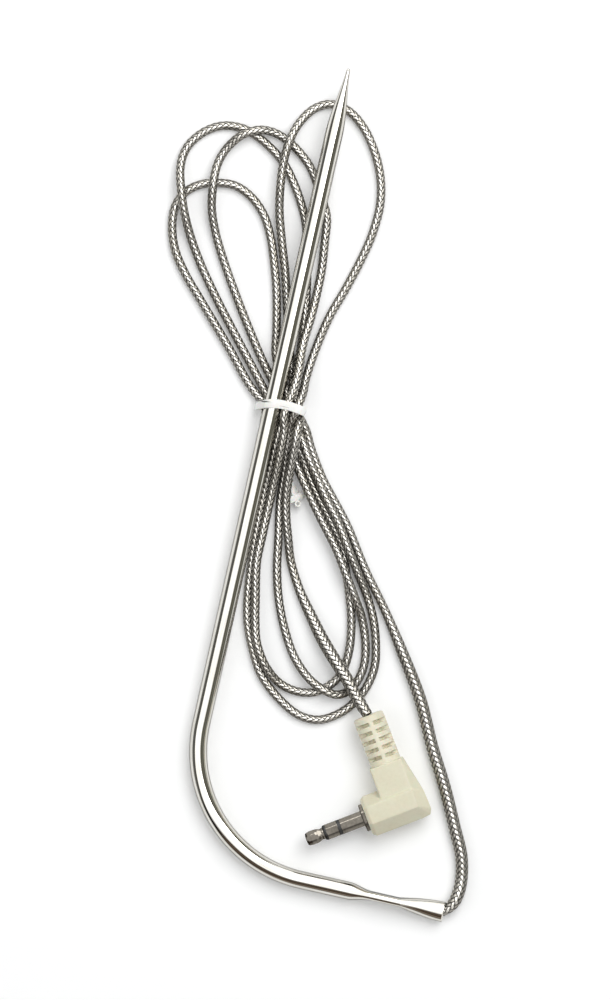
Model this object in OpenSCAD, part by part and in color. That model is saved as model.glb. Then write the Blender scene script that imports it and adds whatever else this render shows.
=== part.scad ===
// Wired oven probe thermometer, bent 90 degrees, with a steel-braided lead and a 3.5 mm jack plug.
// The lead is bundled with the probe in a twist tie, as the thing is stored and sold.
// Lengths are millimetres. The probe lies on its side: the long leg runs along +Y to the point,
// the short leg along +X to the open mouth, and the crimp, the tie and the plug rest on z = 0.

/* [Probe tube] */
// Outside diameter of the probe tube
tube_d = 4.0; // [3.8:0.1:4.2]
// Thickness of the tube's wall
tube_wall = 0.35; // [0.2:0.05:0.45]
// From the short leg's axis to the point
long_leg = 180; // [165:1:260]
// From the long leg's axis to the mouth
short_leg = 62.4; // [56:0.2:90]
// Radius of the bend, on the tube's centreline
bend_r = 29.5; // [12:0.5:32]
// Length of the swaged point
point_l = 16; // [14:0.5:22]
// Diameter of the blunt end of the point
point_end_d = 0.9; // [0.6:0.1:1.6]

/* [Crimp and mouth] */
// From the mouth back to the middle of the crimp
crimp_back = 13.4; // [11:0.2:18]
// Length of the flat that the crimping dies leave
crimp_flat = 6.4; // [3:0.2:9]
// Width of the crimp across the flats
crimp_w = 1.9; // [1.8:0.1:3]
// Length of the dies' slope on the bend's side of the flat
crimp_slope = 4.6; // [2:0.2:7]
// Length of the dies' slope on the mouth's side of the flat
mouth_slope = 3.8; // [2:0.2:6]
// How much wider than the tube the mouth is, in the plane of the bend
mouth_flare = 0.6; // [0.2:0.1:0.8]

/* [Sensor and wires in the tube] */
// Diameter of the thermistor's glass bead
bead_d = 1.4; // [1.2:0.05:1.5]
// Length of the bead
bead_l = 3.2; // [2.2:0.1:4]
// How far the bead's front reaches into the point's taper
bead_ahead = 6.4; // [5:0.2:6.8]
// Diameter of the bead's wire leads
lead_d = 0.26; // [0.2:0.02:0.3]
// Bore of the insulating sleeve around the bead
bead_sleeve_bore = 1.56; // [1.54:0.01:1.6]
// Wall of that sleeve
bead_sleeve_wall = 0.1; // [0.06:0.01:0.12]
// Length of that sleeve
bead_sleeve_l = 9; // [7:0.5:10]
// How far the compound that fills the point reaches behind the taper
compound_behind = 4; // [2:0.5:5]
// Diameter of each stranded conductor
conductor_d = 0.36; // [0.32:0.02:0.4]
// Outside diameter of each wire's insulation
insulation_d = 0.7; // [0.6:0.02:0.72]
// Between the two wires' centrelines
wire_pitch = 0.84; // [0.84:0.01:0.9]
// From the taper back to the first splice
splice_behind = 7; // [6:0.5:20]
// Between the first splice and the second one, which is staggered behind it
splice_stagger = 8; // [7:0.5:14]
// Length of a splice's crimped ferrule
ferrule_l = 3.2; // [2:0.2:5]
// Wall of a ferrule
ferrule_wall = 0.13; // [0.1:0.01:0.14]
// Wall of the sleeve over a splice
splice_sleeve_wall = 0.08; // [0.06:0.01:0.09]

/* [Lead] */
// Diameter of the braided lead
cord_d = 2.0; // [1.8:0.1:2.2]
// How far the braid reaches into the tube past the crimp
braid_past_crimp = 5; // [2:0.5:10]
// How much the braid bulges where it leaves the probe and the boot, as a factor
braid_bulge = 1.45; // [1.1:0.05:1.5]
// Thickness of the hank, which holds the lead's flat loops
hank_t = 2.2; // [2.1:0.1:2.6]

/* [Plug] */
// Diameter of the plug's contacts
jack_d = 3.5; // [3.5:0.01:3.52]
// Length of the contacts from the flange's seat to the tip
jack_l = 14.4; // [13.9:0.1:15]
// Diameter of the flange that the contacts stand on
flange_d = 6.4; // [5.6:0.2:7.4]
// Thickness of the flange
flange_t = 1.0; // [0.6:0.1:1.4]
// Diameter of the plug body's barrel, around the contacts
barrel_d = 9.4; // [9:0.1:11]
// From the lead's axis to the barrel's front face
barrel_front = 8.5; // [8.2:0.1:11]
// From the lead's axis to the barrel's back end
barrel_back = 5.9; // [4.8:0.1:7]
// Width of the arm that the lead comes in through, on the pin's side of the lead
arm_front = 4.1; // [3.8:0.1:4.6]
// Width of that arm on the other side of the lead
arm_back = 5.0; // [4.7:0.1:5.2]
// Thickness of that arm
arm_t = 8.4; // [7.4:0.1:9]
// From the contacts' axis to the arm's end
arm_l = 9.8; // [9:0.1:12]
// Wide bevel on the arm's outer edges
arm_bevel = 2.0; // [0.8:0.1:2.4]
// Small bevel on the arm's inner edges
arm_edge = 0.5; // [0.2:0.1:0.9]

/* [Strain relief] */
// Outside diameter of the ribbed boot
boot_d = 6.6; // [6:0.1:8]
// Length of the boot from the arm's end
boot_l = 11.4; // [11:0.1:16]
// Number of slots along each side of the boot
boot_slots = 5; // [3:1:5]
// Distance from one slot to the next
slot_pitch = 1.95; // [1.5:0.05:2]
// Width of a slot
slot_w = 0.7; // [0.4:0.05:1]
// Diameter of the boot's core, at the bottom of the slots
boot_core_d = 4.6; // [3.6:0.1:5.2]
// Width of the two spines that join the ribs
spine_w = 1.8; // [1.2:0.1:3]

/* [Twist tie] */
// Width of the tie's ribbon
tie_w = 2.0; // [1.4:0.1:3]
// Thickness of the ribbon
tie_t = 0.7; // [0.6:0.05:0.8]
// Diameter of the steel wire inside the ribbon
tie_wire_d = 0.4; // [0.3:0.02:0.44]

/* [Fits] */
// Clearance between pieces that are bonded, moulded or pushed together
fit = 0.02; // [0.01:0.005:0.03]

/* [Hidden] */
$fn = 48;

tube_r = tube_d / 2;
bore_r = tube_r - tube_wall;
cord_r = cord_d / 2;

// The crimp keeps the tube's girth: two flats joined by half circles.
crimp_h = crimp_w + (PI * tube_d - PI * crimp_w) / 2;
crimp_x = short_leg - crimp_back;
crimp_start = crimp_x - crimp_flat / 2 - crimp_slope;
mouth_start = crimp_x + crimp_flat / 2 + mouth_slope;
mouth_w = tube_d + mouth_flare;
mouth_h = tube_d - mouth_flare;

// The probe rests on the crimp's lower edge, and its long leg on the bundle in the tie.
rest_z = crimp_h / 2;
waist_y = 103;
waist_tube_z = tie_t + cord_d + tube_r + 0.02;
tilt = asin((waist_tube_z - rest_z) / waist_y);

// The origin is the middle of the probe's box, on the surface that it lies on.
origin_x = (short_leg - tube_r) / 2;
origin_y = (long_leg * cos(tilt) - mouth_w / 2) / 2;

STEEL = "silver";
BRAID = "darkgray";
CREAM = "cornsilk";
WHITE = "whitesmoke";

// ---- Places ----

// The frame of the two legs' crossing axes, which all the sizes below are measured from.
module corner() {
    translate([-origin_x, -origin_y, 0]) children();
}

// The probe as it rests, its long leg raised on the tied bundle.
module probe_pose() {
    corner() translate([0, 0, rest_z]) rotate([tilt, 0, 0]) children();
}

// Local +Z runs up the long leg, from the short leg's axis to the point.
module up_long_leg() {
    probe_pose() rotate([-90, 0, 0]) children();
}

// Local +Z runs down the short leg, from the long leg's axis to the mouth.
module down_short_leg() {
    probe_pose() rotate([0, 90, 0]) children();
}

// A round bar that follows the tube from y = top on the long leg to x = end on the short leg.
// off moves it out of the bend's plane.
module along_tube(r, top, end, off) {
    translate([0, 0, off]) {
        translate([0, bend_r, 0]) rotate([-90, 0, 0]) cylinder(r = r, h = top - bend_r);
        translate([bend_r, bend_r, 0]) rotate([0, 0, 180]) rotate_extrude(angle = 90)
            translate([bend_r, 0]) circle(r = r);
        translate([bend_r, 0, 0]) rotate([0, 90, 0]) cylinder(r = r, h = end - bend_r);
    }
}

// ---- Probe tube ----

function smooth(t) = t <= 0 ? 0 : t >= 1 ? 1 : t * t * (3 - 2 * t);

// Radius of the point at a distance s from its blunt end: slender, then full.
function point_r(s) = s >= point_l ? tube_r
    : point_end_d / 2 + (tube_r - point_end_d / 2) * (1 - cos(180 * pow(s / point_l, 0.85))) / 2;

// Half width and half height of the crimped end at x, on the outside of the wall.
function crimp_share(x) = x < crimp_x
    ? smooth((x - crimp_start) / crimp_slope) : smooth((mouth_start - x) / mouth_slope);
function end_half_w(x) = crimp_share(x) * crimp_w / 2
    + (1 - crimp_share(x)) * (x < crimp_x ? tube_r : mouth_w / 2);
function end_half_h(x) = crimp_share(x) * crimp_h / 2
    + (1 - crimp_share(x)) * (x < crimp_x ? tube_r : mouth_h / 2);

// One section of the crimped end: two half circles and the flats between them, or an oval.
end_sides = 32;
function end_section(x, inset) = let (
        a = end_half_w(x) - inset, b = end_half_h(x) - inset,
        flat = crimp_share(x) * max(0, b - a), tall = b - flat)
    [for (i = [0 : end_sides - 1]) let (
            t = 360 * (i + 0.5) / end_sides, side = sin(t) > 0 ? 1 : -1)
        [x, a * cos(t), side * flat + tall * sin(t)]];

crimp_steps = 7;
function end_stations(x0, x1) = concat([x0, crimp_start],
    [for (i = [1 : crimp_steps]) crimp_start + crimp_slope * i / crimp_steps],
    [for (i = [0 : crimp_steps]) mouth_start - mouth_slope * (1 - i / crimp_steps)], [x1]);

// Closed skin over a list of rings that all have the same number of points.
function ring_faces(rings, n) = concat(
    [for (k = [0 : rings - 2], i = [0 : n - 1]) let (j = (i + 1) % n)
        [k * n + i, (k + 1) * n + i, k * n + j]],
    [for (k = [0 : rings - 2], i = [0 : n - 1]) let (j = (i + 1) % n)
        [k * n + j, (k + 1) * n + i, (k + 1) * n + j]],
    [[for (i = [0 : n - 1]) i]],
    [[for (i = [0 : n - 1]) (rings - 1) * n + n - 1 - i]]);

// It starts a little way inside the round tube, narrower than the tube there.
module crimped_end(inset, x1) {
    stations = end_stations(crimp_start - 0.3, x1);
    polyhedron(points = [for (x = stations)
            each end_section(x, inset + (x < crimp_start ? 0.2 : 0))],
        faces = ring_faces(len(stations), end_sides), convexity = 6);
}

point_steps = 14;
bore_end_s = 3.2;

module probe_tube() color(STEEL) difference() {
    union() {
        probe_pose() along_tube(tube_r, long_leg - point_l, crimp_start, 0);
        up_long_leg() rotate_extrude() polygon(concat([[0, long_leg - point_l]],
            [for (i = [point_steps : -1 : 0]) let (s = point_l * i / point_steps)
                [point_r(s), long_leg - s]], [[0, long_leg]]));
        probe_pose() crimped_end(0.02, short_leg);
    }
    probe_pose() along_tube(bore_r, long_leg - point_l, crimp_start, 0);
    up_long_leg() point_cavity(0);
    probe_pose() crimped_end(tube_wall + 0.02, short_leg + 1);
}

// The space inside the point. gap draws it in, for what fills it.
module point_cavity(gap) {
    rotate_extrude() polygon(concat([[0, long_leg - point_l - 0.01]],
        [for (i = [point_steps : -1 : 0])
            let (s = bore_end_s + (point_l - bore_end_s) * i / point_steps)
            [max(0.05, point_r(s) - tube_wall - gap), long_leg - s - gap]],
        [[0, long_leg - bore_end_s - gap]]));
}

// ---- Sensor ----

bead_top = long_leg - point_l + bead_ahead;
bead_bottom = bead_top - bead_l;
sleeve_top = bead_top + 0.3;
compound_bottom = long_leg - point_l - compound_behind;
ferrule_r = conductor_d / 2 + fit + ferrule_wall;
splice_sleeve_l = ferrule_l + 2.4;
wire_off = wire_pitch / 2;

module bead_shape() {
    translate([0, 0, bead_bottom + bead_d / 2]) sphere(d = bead_d);
    translate([0, 0, bead_top - bead_d / 2]) sphere(d = bead_d);
    translate([0, 0, bead_bottom + bead_d / 2]) cylinder(d = bead_d, h = bead_l - bead_d);
}

// The two leads or wires stand side by side, one above the other as the probe lies.
module pair() {
    for (side = [-1, 1]) translate([0, side * wire_off, 0]) children();
}

lead_seat = bead_bottom + bead_l * 0.55;

module thermistor_bead() color("peru") up_long_leg() difference() {
    bead_shape();
    for (side = [-1, 1]) translate([0, side * wire_off, bead_bottom - 1])
        cylinder(d = lead_d + 2 * fit, h = lead_seat - bead_bottom + 1 + fit);
}

// Splice 0 joins the signal wire, splice 1 the return wire, each by its own ferrule.
function splice_top(k) = long_leg - point_l - splice_behind - k * splice_stagger;

module thermistor_leads() color(STEEL) up_long_leg()
    for (k = [0, 1]) translate([0, (1 - 2 * k) * wire_off, splice_top(k) - ferrule_l / 2 + fit])
        cylinder(d = lead_d, h = lead_seat - splice_top(k) + ferrule_l / 2 - fit);

module bead_sleeve() color("goldenrod") up_long_leg()
    translate([0, 0, sleeve_top - bead_sleeve_l]) difference() {
        cylinder(d = bead_sleeve_bore + 2 * bead_sleeve_wall, h = bead_sleeve_l);
        translate([0, 0, -1]) cylinder(d = bead_sleeve_bore, h = bead_sleeve_l + 2);
    }

// Heat-conducting compound between the sleeve and the point's wall, ahead of and around it.
module tip_compound() color("gainsboro") up_long_leg() difference() {
    union() {
        point_cavity(fit);
        translate([0, 0, compound_bottom])
            cylinder(r = bore_r - fit, h = compound_behind);
    }
    translate([0, 0, compound_bottom - 1])
        cylinder(d = bead_sleeve_bore + 2 * (bead_sleeve_wall + fit),
            h = sleeve_top - compound_bottom + 1 + fit);
}

module splice_ferrules() color("silver") up_long_leg()
    for (k = [0, 1]) translate([0, (1 - 2 * k) * wire_off, splice_top(k) - ferrule_l])
        difference() {
            cylinder(r = ferrule_r, h = ferrule_l);
            translate([0, 0, -1]) cylinder(d = conductor_d + 2 * fit, h = 1 + ferrule_l / 2);
            cylinder(d = lead_d + 2 * fit, h = ferrule_l + 1);
        }

module splice_sleeves() color("white") up_long_leg()
    for (k = [0, 1])
        translate([0, (1 - 2 * k) * wire_off, splice_top(k) - ferrule_l - 1.2]) difference() {
            cylinder(r = insulation_d / 2 + fit + splice_sleeve_wall, h = splice_sleeve_l);
            translate([0, 0, -1]) cylinder(d = insulation_d + 2 * fit, h = splice_sleeve_l + 2);
        }

// ---- Wires in the tube ----

tail_end = short_leg - 2;
tail_start = crimp_start - braid_past_crimp;

// k is 0 for the signal wire and 1 for the return wire.
module conductor(k) probe_pose()
    along_tube(conductor_d / 2, splice_top(k) - ferrule_l / 2 - fit, tail_end,
        (2 * k - 1) * wire_off);

module insulation(k) probe_pose() difference() {
    along_tube(insulation_d / 2, splice_top(k) - ferrule_l - 0.3, tail_end,
        (2 * k - 1) * wire_off);
    along_tube(conductor_d / 2 + fit, splice_top(k) - ferrule_l, tail_end + 1,
        (2 * k - 1) * wire_off);
}

module signal_conductor() color("peru") conductor(0);
module return_conductor() color("peru") conductor(1);
module signal_insulation() color("red") insulation(0);
module return_insulation() color("white") insulation(1);

// The lead's end inside the tube: round, pressed flat by the crimp, and round again.
function tail_share(x) = crimp_share(x);
function tail_section(x) = let (
        squeeze = tail_share(x),
        a = (1 - squeeze) * cord_r + squeeze * (crimp_w / 2 - tube_wall - fit),
        b = (1 - squeeze) * cord_r + squeeze * (crimp_h / 2 - tube_wall - fit),
        flat = squeeze * max(0, b - a), tall = b - flat)
    [for (i = [0 : end_sides - 1]) let (
            t = 360 * (i + 0.5) / end_sides, side = sin(t) > 0 ? 1 : -1)
        [x, a * cos(t), side * flat + tall * sin(t)]];

module braid_tail() color(BRAID) probe_pose() difference() {
    stations = end_stations(tail_start, tail_end);
    polyhedron(points = [for (x = stations) each tail_section(x)],
        faces = ring_faces(len(stations), end_sides), convexity = 4);
    for (side = [-1, 1]) translate([tail_start - 1, 0, side * wire_off]) rotate([0, 90, 0])
        cylinder(d = insulation_d + 2 * fit, h = tail_end - tail_start + 2);
}

// ---- Lead ----

// Places along the free lead, in the corner's frame: x, y, the cord's layer, and its bulge.
// Layer 0 lies on the table, and each layer above it rides one cord higher.
// From the mouth, round to the long leg's side, and up to the hank.
from_probe = [
    [-1.9, -0.3, 0.76, 0], [-0.9, -0.2, 0.74, 0.1], [0.4, 0.6, 0.66, 0.3], [1.7, 2.4, 0.5, 0.8],
    [2.3, 4.8, 0.26, 1], [2.3, 8.2, 0, 1], [1.2, 13, 0, 1], [-2, 19.6, 0, 1], [-6.6, 28.4, 0, 1],
    [-11.4, 37.4, 0, 1], [-16.2, 46.6, 0, 1], [-22, 55.4, 0, 0.7], [-28, 63.6, 0, 0],
    [-34, 71.4, 0, 0], [-39.2, 79, 0, 0]];
// From the boot, over the hank's lower loops, and along the table to the hank's left side.
to_plug = [
    [33.2, 43.4, 1.05, 1], [30, 46.4, 1.0, 1], [26.4, 49.8, 0.8, 1], [22.4, 54, 0.3, 0.8],
    [18.4, 59.2, 0, 0.3], [14.8, 65, 0, 0], [12, 70.4, 0, 0], [9.95, 76.2, 0, 0]];

lift = cord_d + 0.05;
cord_sides = 8;

function bulge_r(k) = cord_r * (1 + (braid_bulge - 1) * k);
function lead_path(list, x0) = [for (p = list) let (r = bulge_r(p[3]))
    [p[0] + x0, p[1], r + p[2] * lift, r]];

function unit3(v) = v / norm(v);
function path_dir(p, i, last) = let (a = p[max(0, i - 1)], b = p[min(last, i + 1)])
    unit3([b[0] - a[0], b[1] - a[1], b[2] - a[2]]);
// One ring around place i, across the path, with the vertices just outside the radius.
function cord_ring(p, i, first_dir) = let (
        last = len(p) - 1,
        d = i == 0 ? first_dir : path_dir(p, i, last),
        side = unit3(cross(d, [0, 0, 1])), up = cross(side, d))
    [for (k = [0 : cord_sides - 1]) let (t = 360 * (k + 0.5) / cord_sides)
        [p[i][0], p[i][1], p[i][2]] + p[i][3] * (cos(t) * side + sin(t) * up)];

module cord_tube(p, first_dir) polyhedron(
    points = [for (i = [0 : len(p) - 1]) each cord_ring(p, i, first_dir)],
    faces = ring_faces(len(p), cord_sides), convexity = 6);

module lead_from_probe() color(BRAID) corner()
    cord_tube(lead_path(from_probe, short_leg), [1, 0, 0]);

module lead_to_plug() color(BRAID) corner()
    cord_tube(concat([[boot_end[0], boot_end[1], plug_z, cord_r * 1.2],
        [boot_end[0] - 0.9, boot_end[1] + 1.4, plug_z - 0.1, cord_r * 1.35]],
        lead_path(to_plug, 0)), [cos(plug_turn - 90), sin(plug_turn - 90), 0]);

// The hank: the lead's figure-eight loops as flat plates, drawn round their outer edges, with
// the gaps that the loops leave open.
upper_loops = [[-2, 101.9], [-4.4, 102.4], [-6.6, 104.8], [-12.9, 111.6], [-22.3, 121.8],
    [-26.6, 126.3], [-30.1, 131.4], [-32.2, 137], [-33, 143], [-33.2, 149.6], [-33.1, 153.4],
    [-32, 156.4], [-29.1, 160.2], [-25.4, 162.5], [-21, 163], [-17.5, 162.9], [-14.2, 163.6],
    [-10.4, 162.8], [-9, 166.7], [-6, 170.8], [-2.4, 172.6], [-0.4, 172.7], [2.8, 171.6],
    [7.2, 168.2], [11, 163.1], [13.5, 157.6], [14.6, 151.8], [14.3, 144.7], [13, 138.1],
    [11, 131.1], [9, 125], [7.5, 116.6], [6.8, 109.8], [6.3, 105], [6.1, 101.9]];
upper_gaps = [
    [[6.2, 121], [8.4, 129], [11, 139], [12.4, 146], [12.5, 152], [11.4, 157.4], [8.6, 162.6],
        [5, 167], [0, 169.8], [-4, 169.4], [-7, 165.8], [-8, 162], [-5.4, 160.4], [-1.4, 156.8],
        [1.8, 151.4], [4.2, 143], [5.2, 134], [5.2, 126]],
    [[-12, 127], [-19, 138], [-22, 146.6], [-15.6, 146.2], [-10.4, 141], [-7.6, 134], [-6, 127],
        [-5, 118], [-8.6, 119.6]],
    [[-18.6, 128], [-24.6, 136.6], [-28, 144], [-25.4, 146.4], [-24, 141], [-21.4, 135]],
    [[-31, 149.4], [-30.9, 154], [-27.6, 158.4], [-22.6, 160.6], [-24.6, 156], [-25.2, 150.4],
        [-28, 149.8]],
    [[-22.8, 150.2], [-22.2, 154.6], [-19.2, 159], [-15.6, 158.6], [-10.6, 155], [-10, 149],
        [-14, 148.9], [-18, 150.2]]];
lower_loops = [[-2, 104.1], [-3.6, 101.9], [1.6, 96], [1.5, 81], [2, 67.6], [3.1, 58.5],
    [4.1, 54], [6.2, 48.6], [10, 42.2], [15.6, 37.4], [21.2, 34.9], [26, 35], [30.4, 37.7],
    [32.6, 40.8], [35, 44.8], [36, 50.7], [35.2, 54.6], [33, 60.8], [30.2, 65], [26.6, 69.8],
    [22.6, 78.5], [24.2, 79.6], [20, 84.6], [15.8, 89.6], [11.4, 96], [9.4, 99.6], [6.2, 101.9],
    [6.2, 104.1]];
lower_gap = [[7.6, 89.2], [8.4, 83], [9.6, 79.4], [11, 76.6], [8.9, 75.8], [9, 73.6],
    [10.1, 66.9], [11.9, 60.7], [14.6, 54.6], [18, 49.2], [22.2, 45.4], [25, 44.4], [27.4, 47.4],
    [27.9, 52.8], [27.1, 59.3], [25.9, 63.5], [24, 68.2], [20.4, 73.4], [15.5, 79.3],
    [12.4, 83.2], [9.6, 87]];
// Where the strands stack up beside the tube, on both sides of the tie.
waist_stack = [[2.4, 97], [4, 95.5], [6.2, 96], [6.6, 99], [6.3, 103], [6.8, 107], [5.6, 109.5],
    [3, 109.5], [2.4, 104]];
waist_stack_top = tie_t + 3 * cord_d;

module lead_hank() color(BRAID) difference() {
    corner() union() {
        linear_extrude(hank_t) difference() {
            polygon(upper_loops);
            for (g = upper_gaps) polygon(g);
        }
        linear_extrude(hank_t) difference() {
            polygon(lower_loops);
            polygon(lower_gap);
        }
        linear_extrude(waist_stack_top) polygon(waist_stack);
        translate([-3.4, waist_y - 3, 0]) cube([9.6, 6, tie_t + cord_d]);
    }
    probe_pose() along_tube(tube_r + fit, long_leg, crimp_start, 0);
    tie_space();
    corner() translate([0, 0, -1]) linear_extrude(1 + tie_t + fit) tail_outline(fit);
}

// ---- Twist tie ----

// The strands and the tube in the tie's loop, seen along the tube: across it, and up from z = 0.
bundle = [[0, waist_tube_z, tube_r], [-2.5, tie_t + cord_r, cord_r], [5.1, tie_t + cord_r, cord_r],
    [5.3, tie_t + 2 * cord_d + cord_r, cord_r]];

module loop_outline(grow) hull()
    for (c = bundle) translate([c[0], c[1]]) circle(r = c[2] + grow);

// A slice of the tie's loop between two growths of the bundle's outline, w wide.
module loop_slice(inner, outer, w) corner() translate([0, waist_y + w / 2, 0])
    rotate([90, 0, 0]) linear_extrude(w) difference() {
        loop_outline(outer);
        loop_outline(inner);
    }

loop_gap = 0.08;

// Everything outside the loop's inner face across the tie's width, which the strands leave free.
module tie_space() corner() translate([0, waist_y + tie_w / 2 + fit, 0]) rotate([90, 0, 0])
    linear_extrude(tie_w + 2 * fit) difference() {
        translate([-30, -20]) square([60, 60]);
        loop_outline(loop_gap - fit);
    }

// The tail runs back under the tube and the lead, and its two ends lie between the loops.
tail_route = [[-1, 102.8], [-1.2, 98.6], [0.3, 94.8], [3.2, 91.2], [6.2, 87.6], [9.8, 84.9]];
second_end = [[8.2, 82.6], [11.4, 85]];

function route_normal(p, i) = let (a = p[max(0, i - 1)], b = p[min(len(p) - 1, i + 1)],
    d = (b - a) / norm(b - a)) [-d[1], d[0]];
function route_outline(p, w) = concat(
    [for (i = [0 : len(p) - 1]) p[i] + route_normal(p, i) * w / 2],
    [for (i = [len(p) - 1 : -1 : 0]) p[i] - route_normal(p, i) * w / 2]);

module tail_outline(grow) {
    polygon(route_outline(tail_route, tie_w + 2 * grow));
    polygon(route_outline(second_end, tie_w * 0.8 + 2 * grow));
}

// The steel wire, drawn with a growth for the channel that it runs in.
module wire_shape(grow) {
    d = tie_wire_d + 2 * grow;
    loop_slice(loop_gap + (tie_t - loop_gap - d) / 2, loop_gap + (tie_t - loop_gap + d) / 2, d);
    corner() translate([0, 0, (tie_t - loop_gap - d) / 2 + loop_gap / 2 + 0.02])
        linear_extrude(d - 0.04) polygon(route_outline(tail_route, d));
}

module tie_jacket() color(WHITE) difference() {
    union() {
        difference() {
            loop_slice(loop_gap, tie_t, tie_w);
            corner() translate([-30, 0, -20]) cube([60, 200, 20]);
        }
        corner() linear_extrude(tie_t - loop_gap) polygon(route_outline(tail_route, tie_w));
        corner() translate([0, 0, tie_t * 0.4]) linear_extrude(tie_t)
            polygon(route_outline(second_end, tie_w * 0.8));
    }
    wire_shape(fit);
}

module tie_wire() color("dimgray") wire_shape(0);

// ---- Plug ----

// The plug lies beside the probe, its contacts along local +X and the lead's axis along -Y.
plug_turn = 213.6;
plug_x = 47.8;
plug_y = 21.8;
plug_z = barrel_d / 2;
boot_end = [plug_x + (arm_l + boot_l) * cos(plug_turn - 90),
    plug_y + (arm_l + boot_l) * sin(plug_turn - 90)];

module plug_pose() {
    corner() translate([plug_x, plug_y, plug_z]) rotate([0, 0, plug_turn]) children();
}

// Turned shapes about the contacts' axis: outline pairs of x along the axis and radius.
module turned(outline) {
    rotate([0, 90, 0]) rotate_extrude() polygon([for (p = outline) [p[1], p[0]]]);
}

module tube_along_pin(x0, x1, d_out, d_in) {
    turned([[x0, d_in / 2], [x1, d_in / 2], [x1, d_out / 2], [x0, d_out / 2]]);
}

face = barrel_front;
sleeve_end = face + jack_l - 8.6;
collar = 1.2;
ring_end = sleeve_end + collar + 2.4;
tip_start = ring_end + 1.3;
pin_end = face + jack_l;
rod_d = 0.8;
inner_liner_d = 1.3;
ring_tube_d = 1.8;
outer_liner_d = 2.3;
sleeve_back = 3.9;
ring_back = 2.2;
tip_back = 0.4;
lug_t = 0.4;
step = 2 * fit;

module tip_contact() color(STEEL) plug_pose() turned([[tip_back, 0], [pin_end, 0],
    [pin_end, 1.0], [pin_end - 0.3, 1.4], [pin_end - 0.9, 1.55], [tip_start + 1.2, 1.5],
    [tip_start + 0.5, 1.25], [tip_start + fit, 1.2], [tip_start + fit, rod_d / 2],
    [tip_back, rod_d / 2]]);

module ring_insulator() color("#202020") plug_pose() turned([[tip_back + 1.2, rod_d / 2 + fit],
    [tip_start, rod_d / 2 + fit], [tip_start, 1.5], [ring_end + fit, jack_d / 2 - 0.02],
    [ring_end + fit, inner_liner_d / 2], [tip_back + 1.2, inner_liner_d / 2]]);

module ring_contact() color(STEEL) plug_pose() turned([[ring_back, inner_liner_d / 2 + fit],
    [ring_end, inner_liner_d / 2 + fit], [ring_end, jack_d / 2],
    [sleeve_end + collar + fit, jack_d / 2], [sleeve_end + collar + fit, ring_tube_d / 2],
    [ring_back, ring_tube_d / 2]]);

module sleeve_insulator() color("#202020") plug_pose() turned([
    [ring_back + 1.2, ring_tube_d / 2 + fit], [sleeve_end + collar, ring_tube_d / 2 + fit],
    [sleeve_end + collar, jack_d / 2], [sleeve_end + fit, jack_d / 2],
    [sleeve_end + fit, outer_liner_d / 2], [ring_back + 1.2, outer_liner_d / 2]]);

module sleeve_contact() color(STEEL) plug_pose() turned([[sleeve_back, outer_liner_d / 2 + fit],
    [sleeve_end, outer_liner_d / 2 + fit], [sleeve_end, jack_d / 2], [face + flange_t, jack_d / 2],
    [face + flange_t, flange_d / 2 - 0.2], [face + flange_t - 0.2, flange_d / 2],
    [face + fit, flange_d / 2], [face + fit, jack_d / 2], [sleeve_back, jack_d / 2]]);

// A soldering lug: a washer round its contact and a tab out to one side, turned about the axis.
tab_w = 1.2;
tab_l = 3.2;
module lug(x, bore, turn, grow) {
    translate([x - grow, 0, 0]) rotate([turn, 0, 0]) difference() {
        union() {
            rotate([0, 90, 0]) cylinder(d = bore + 1 + 2 * grow, h = lug_t + 2 * grow);
            translate([0, -tab_l - grow, -tab_w / 2 - grow])
                cube([lug_t + 2 * grow, tab_l + grow, tab_w + 2 * grow]);
        }
        translate([-1, 0, 0]) rotate([0, 90, 0]) cylinder(d = bore + 2 * fit, h = lug_t + 3);
    }
}

tip_lug_x = tip_back + 0.3;
ring_lug_x = ring_back + 0.3;
sleeve_lug_x = sleeve_back + 0.3;
tip_turn = 50;
sleeve_turn = -50;

module tip_lug_at(grow) lug(tip_lug_x, rod_d, tip_turn, grow);
module ring_lug_at(grow) lug(ring_lug_x, ring_tube_d, 0, grow);
module sleeve_lug_at(grow) lug(sleeve_lug_x, jack_d, sleeve_turn, grow);
module tip_lug() color("gold") plug_pose() tip_lug_at(0);
module ring_lug() color("gold") plug_pose() ring_lug_at(0);
module sleeve_lug() color("gold") plug_pose() sleeve_lug_at(0);

// Wires in the plug: from the braid's end to the near face of each lug's tab.
core_r = conductor_d / 2;
jacket_r = insulation_d / 2;
part_y = -arm_l + 2.4;
solder_at = 2.5;
solder_r = 0.5;

// A point near a lug: short of its near face, out along its tab.
function tab_point(x, turn, back) = [x - back, -solder_at * cos(turn), -solder_at * sin(turn)];
signal_path = [[-0.4, part_y, -0.5], tab_point(tip_lug_x, tip_turn, 0.5)];
return_path = [[0.5, part_y, -0.1], tab_point(ring_lug_x, 0, 0.5)];
drain_path = [[0.4, part_y, 0.6], tab_point(sleeve_lug_x, sleeve_turn, 0.5)];

// A straight round wire between two places, or its first part.
module wire(path, r, part = 1) {
    d = path[1] - path[0];
    translate(path[0]) rotate([0, acos(d[2] / norm(d)), atan2(d[1], d[0])])
        cylinder(r = r, h = norm(d) * part);
}

module plug_signal_wire() color("peru") plug_pose() wire(signal_path, core_r);
module plug_return_wire() color("peru") plug_pose() wire(return_path, core_r);
module braid_pigtail() color(BRAID) plug_pose() wire(drain_path, core_r);

jacket_share = 0.7;
module plug_wire_insulation() color("red") plug_pose() for (path = [signal_path, return_path])
    difference() {
        wire(path, jacket_r, jacket_share);
        wire([path[0] * 1.2 - path[1] * 0.2, path[1]], core_r + fit);
    }

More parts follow.
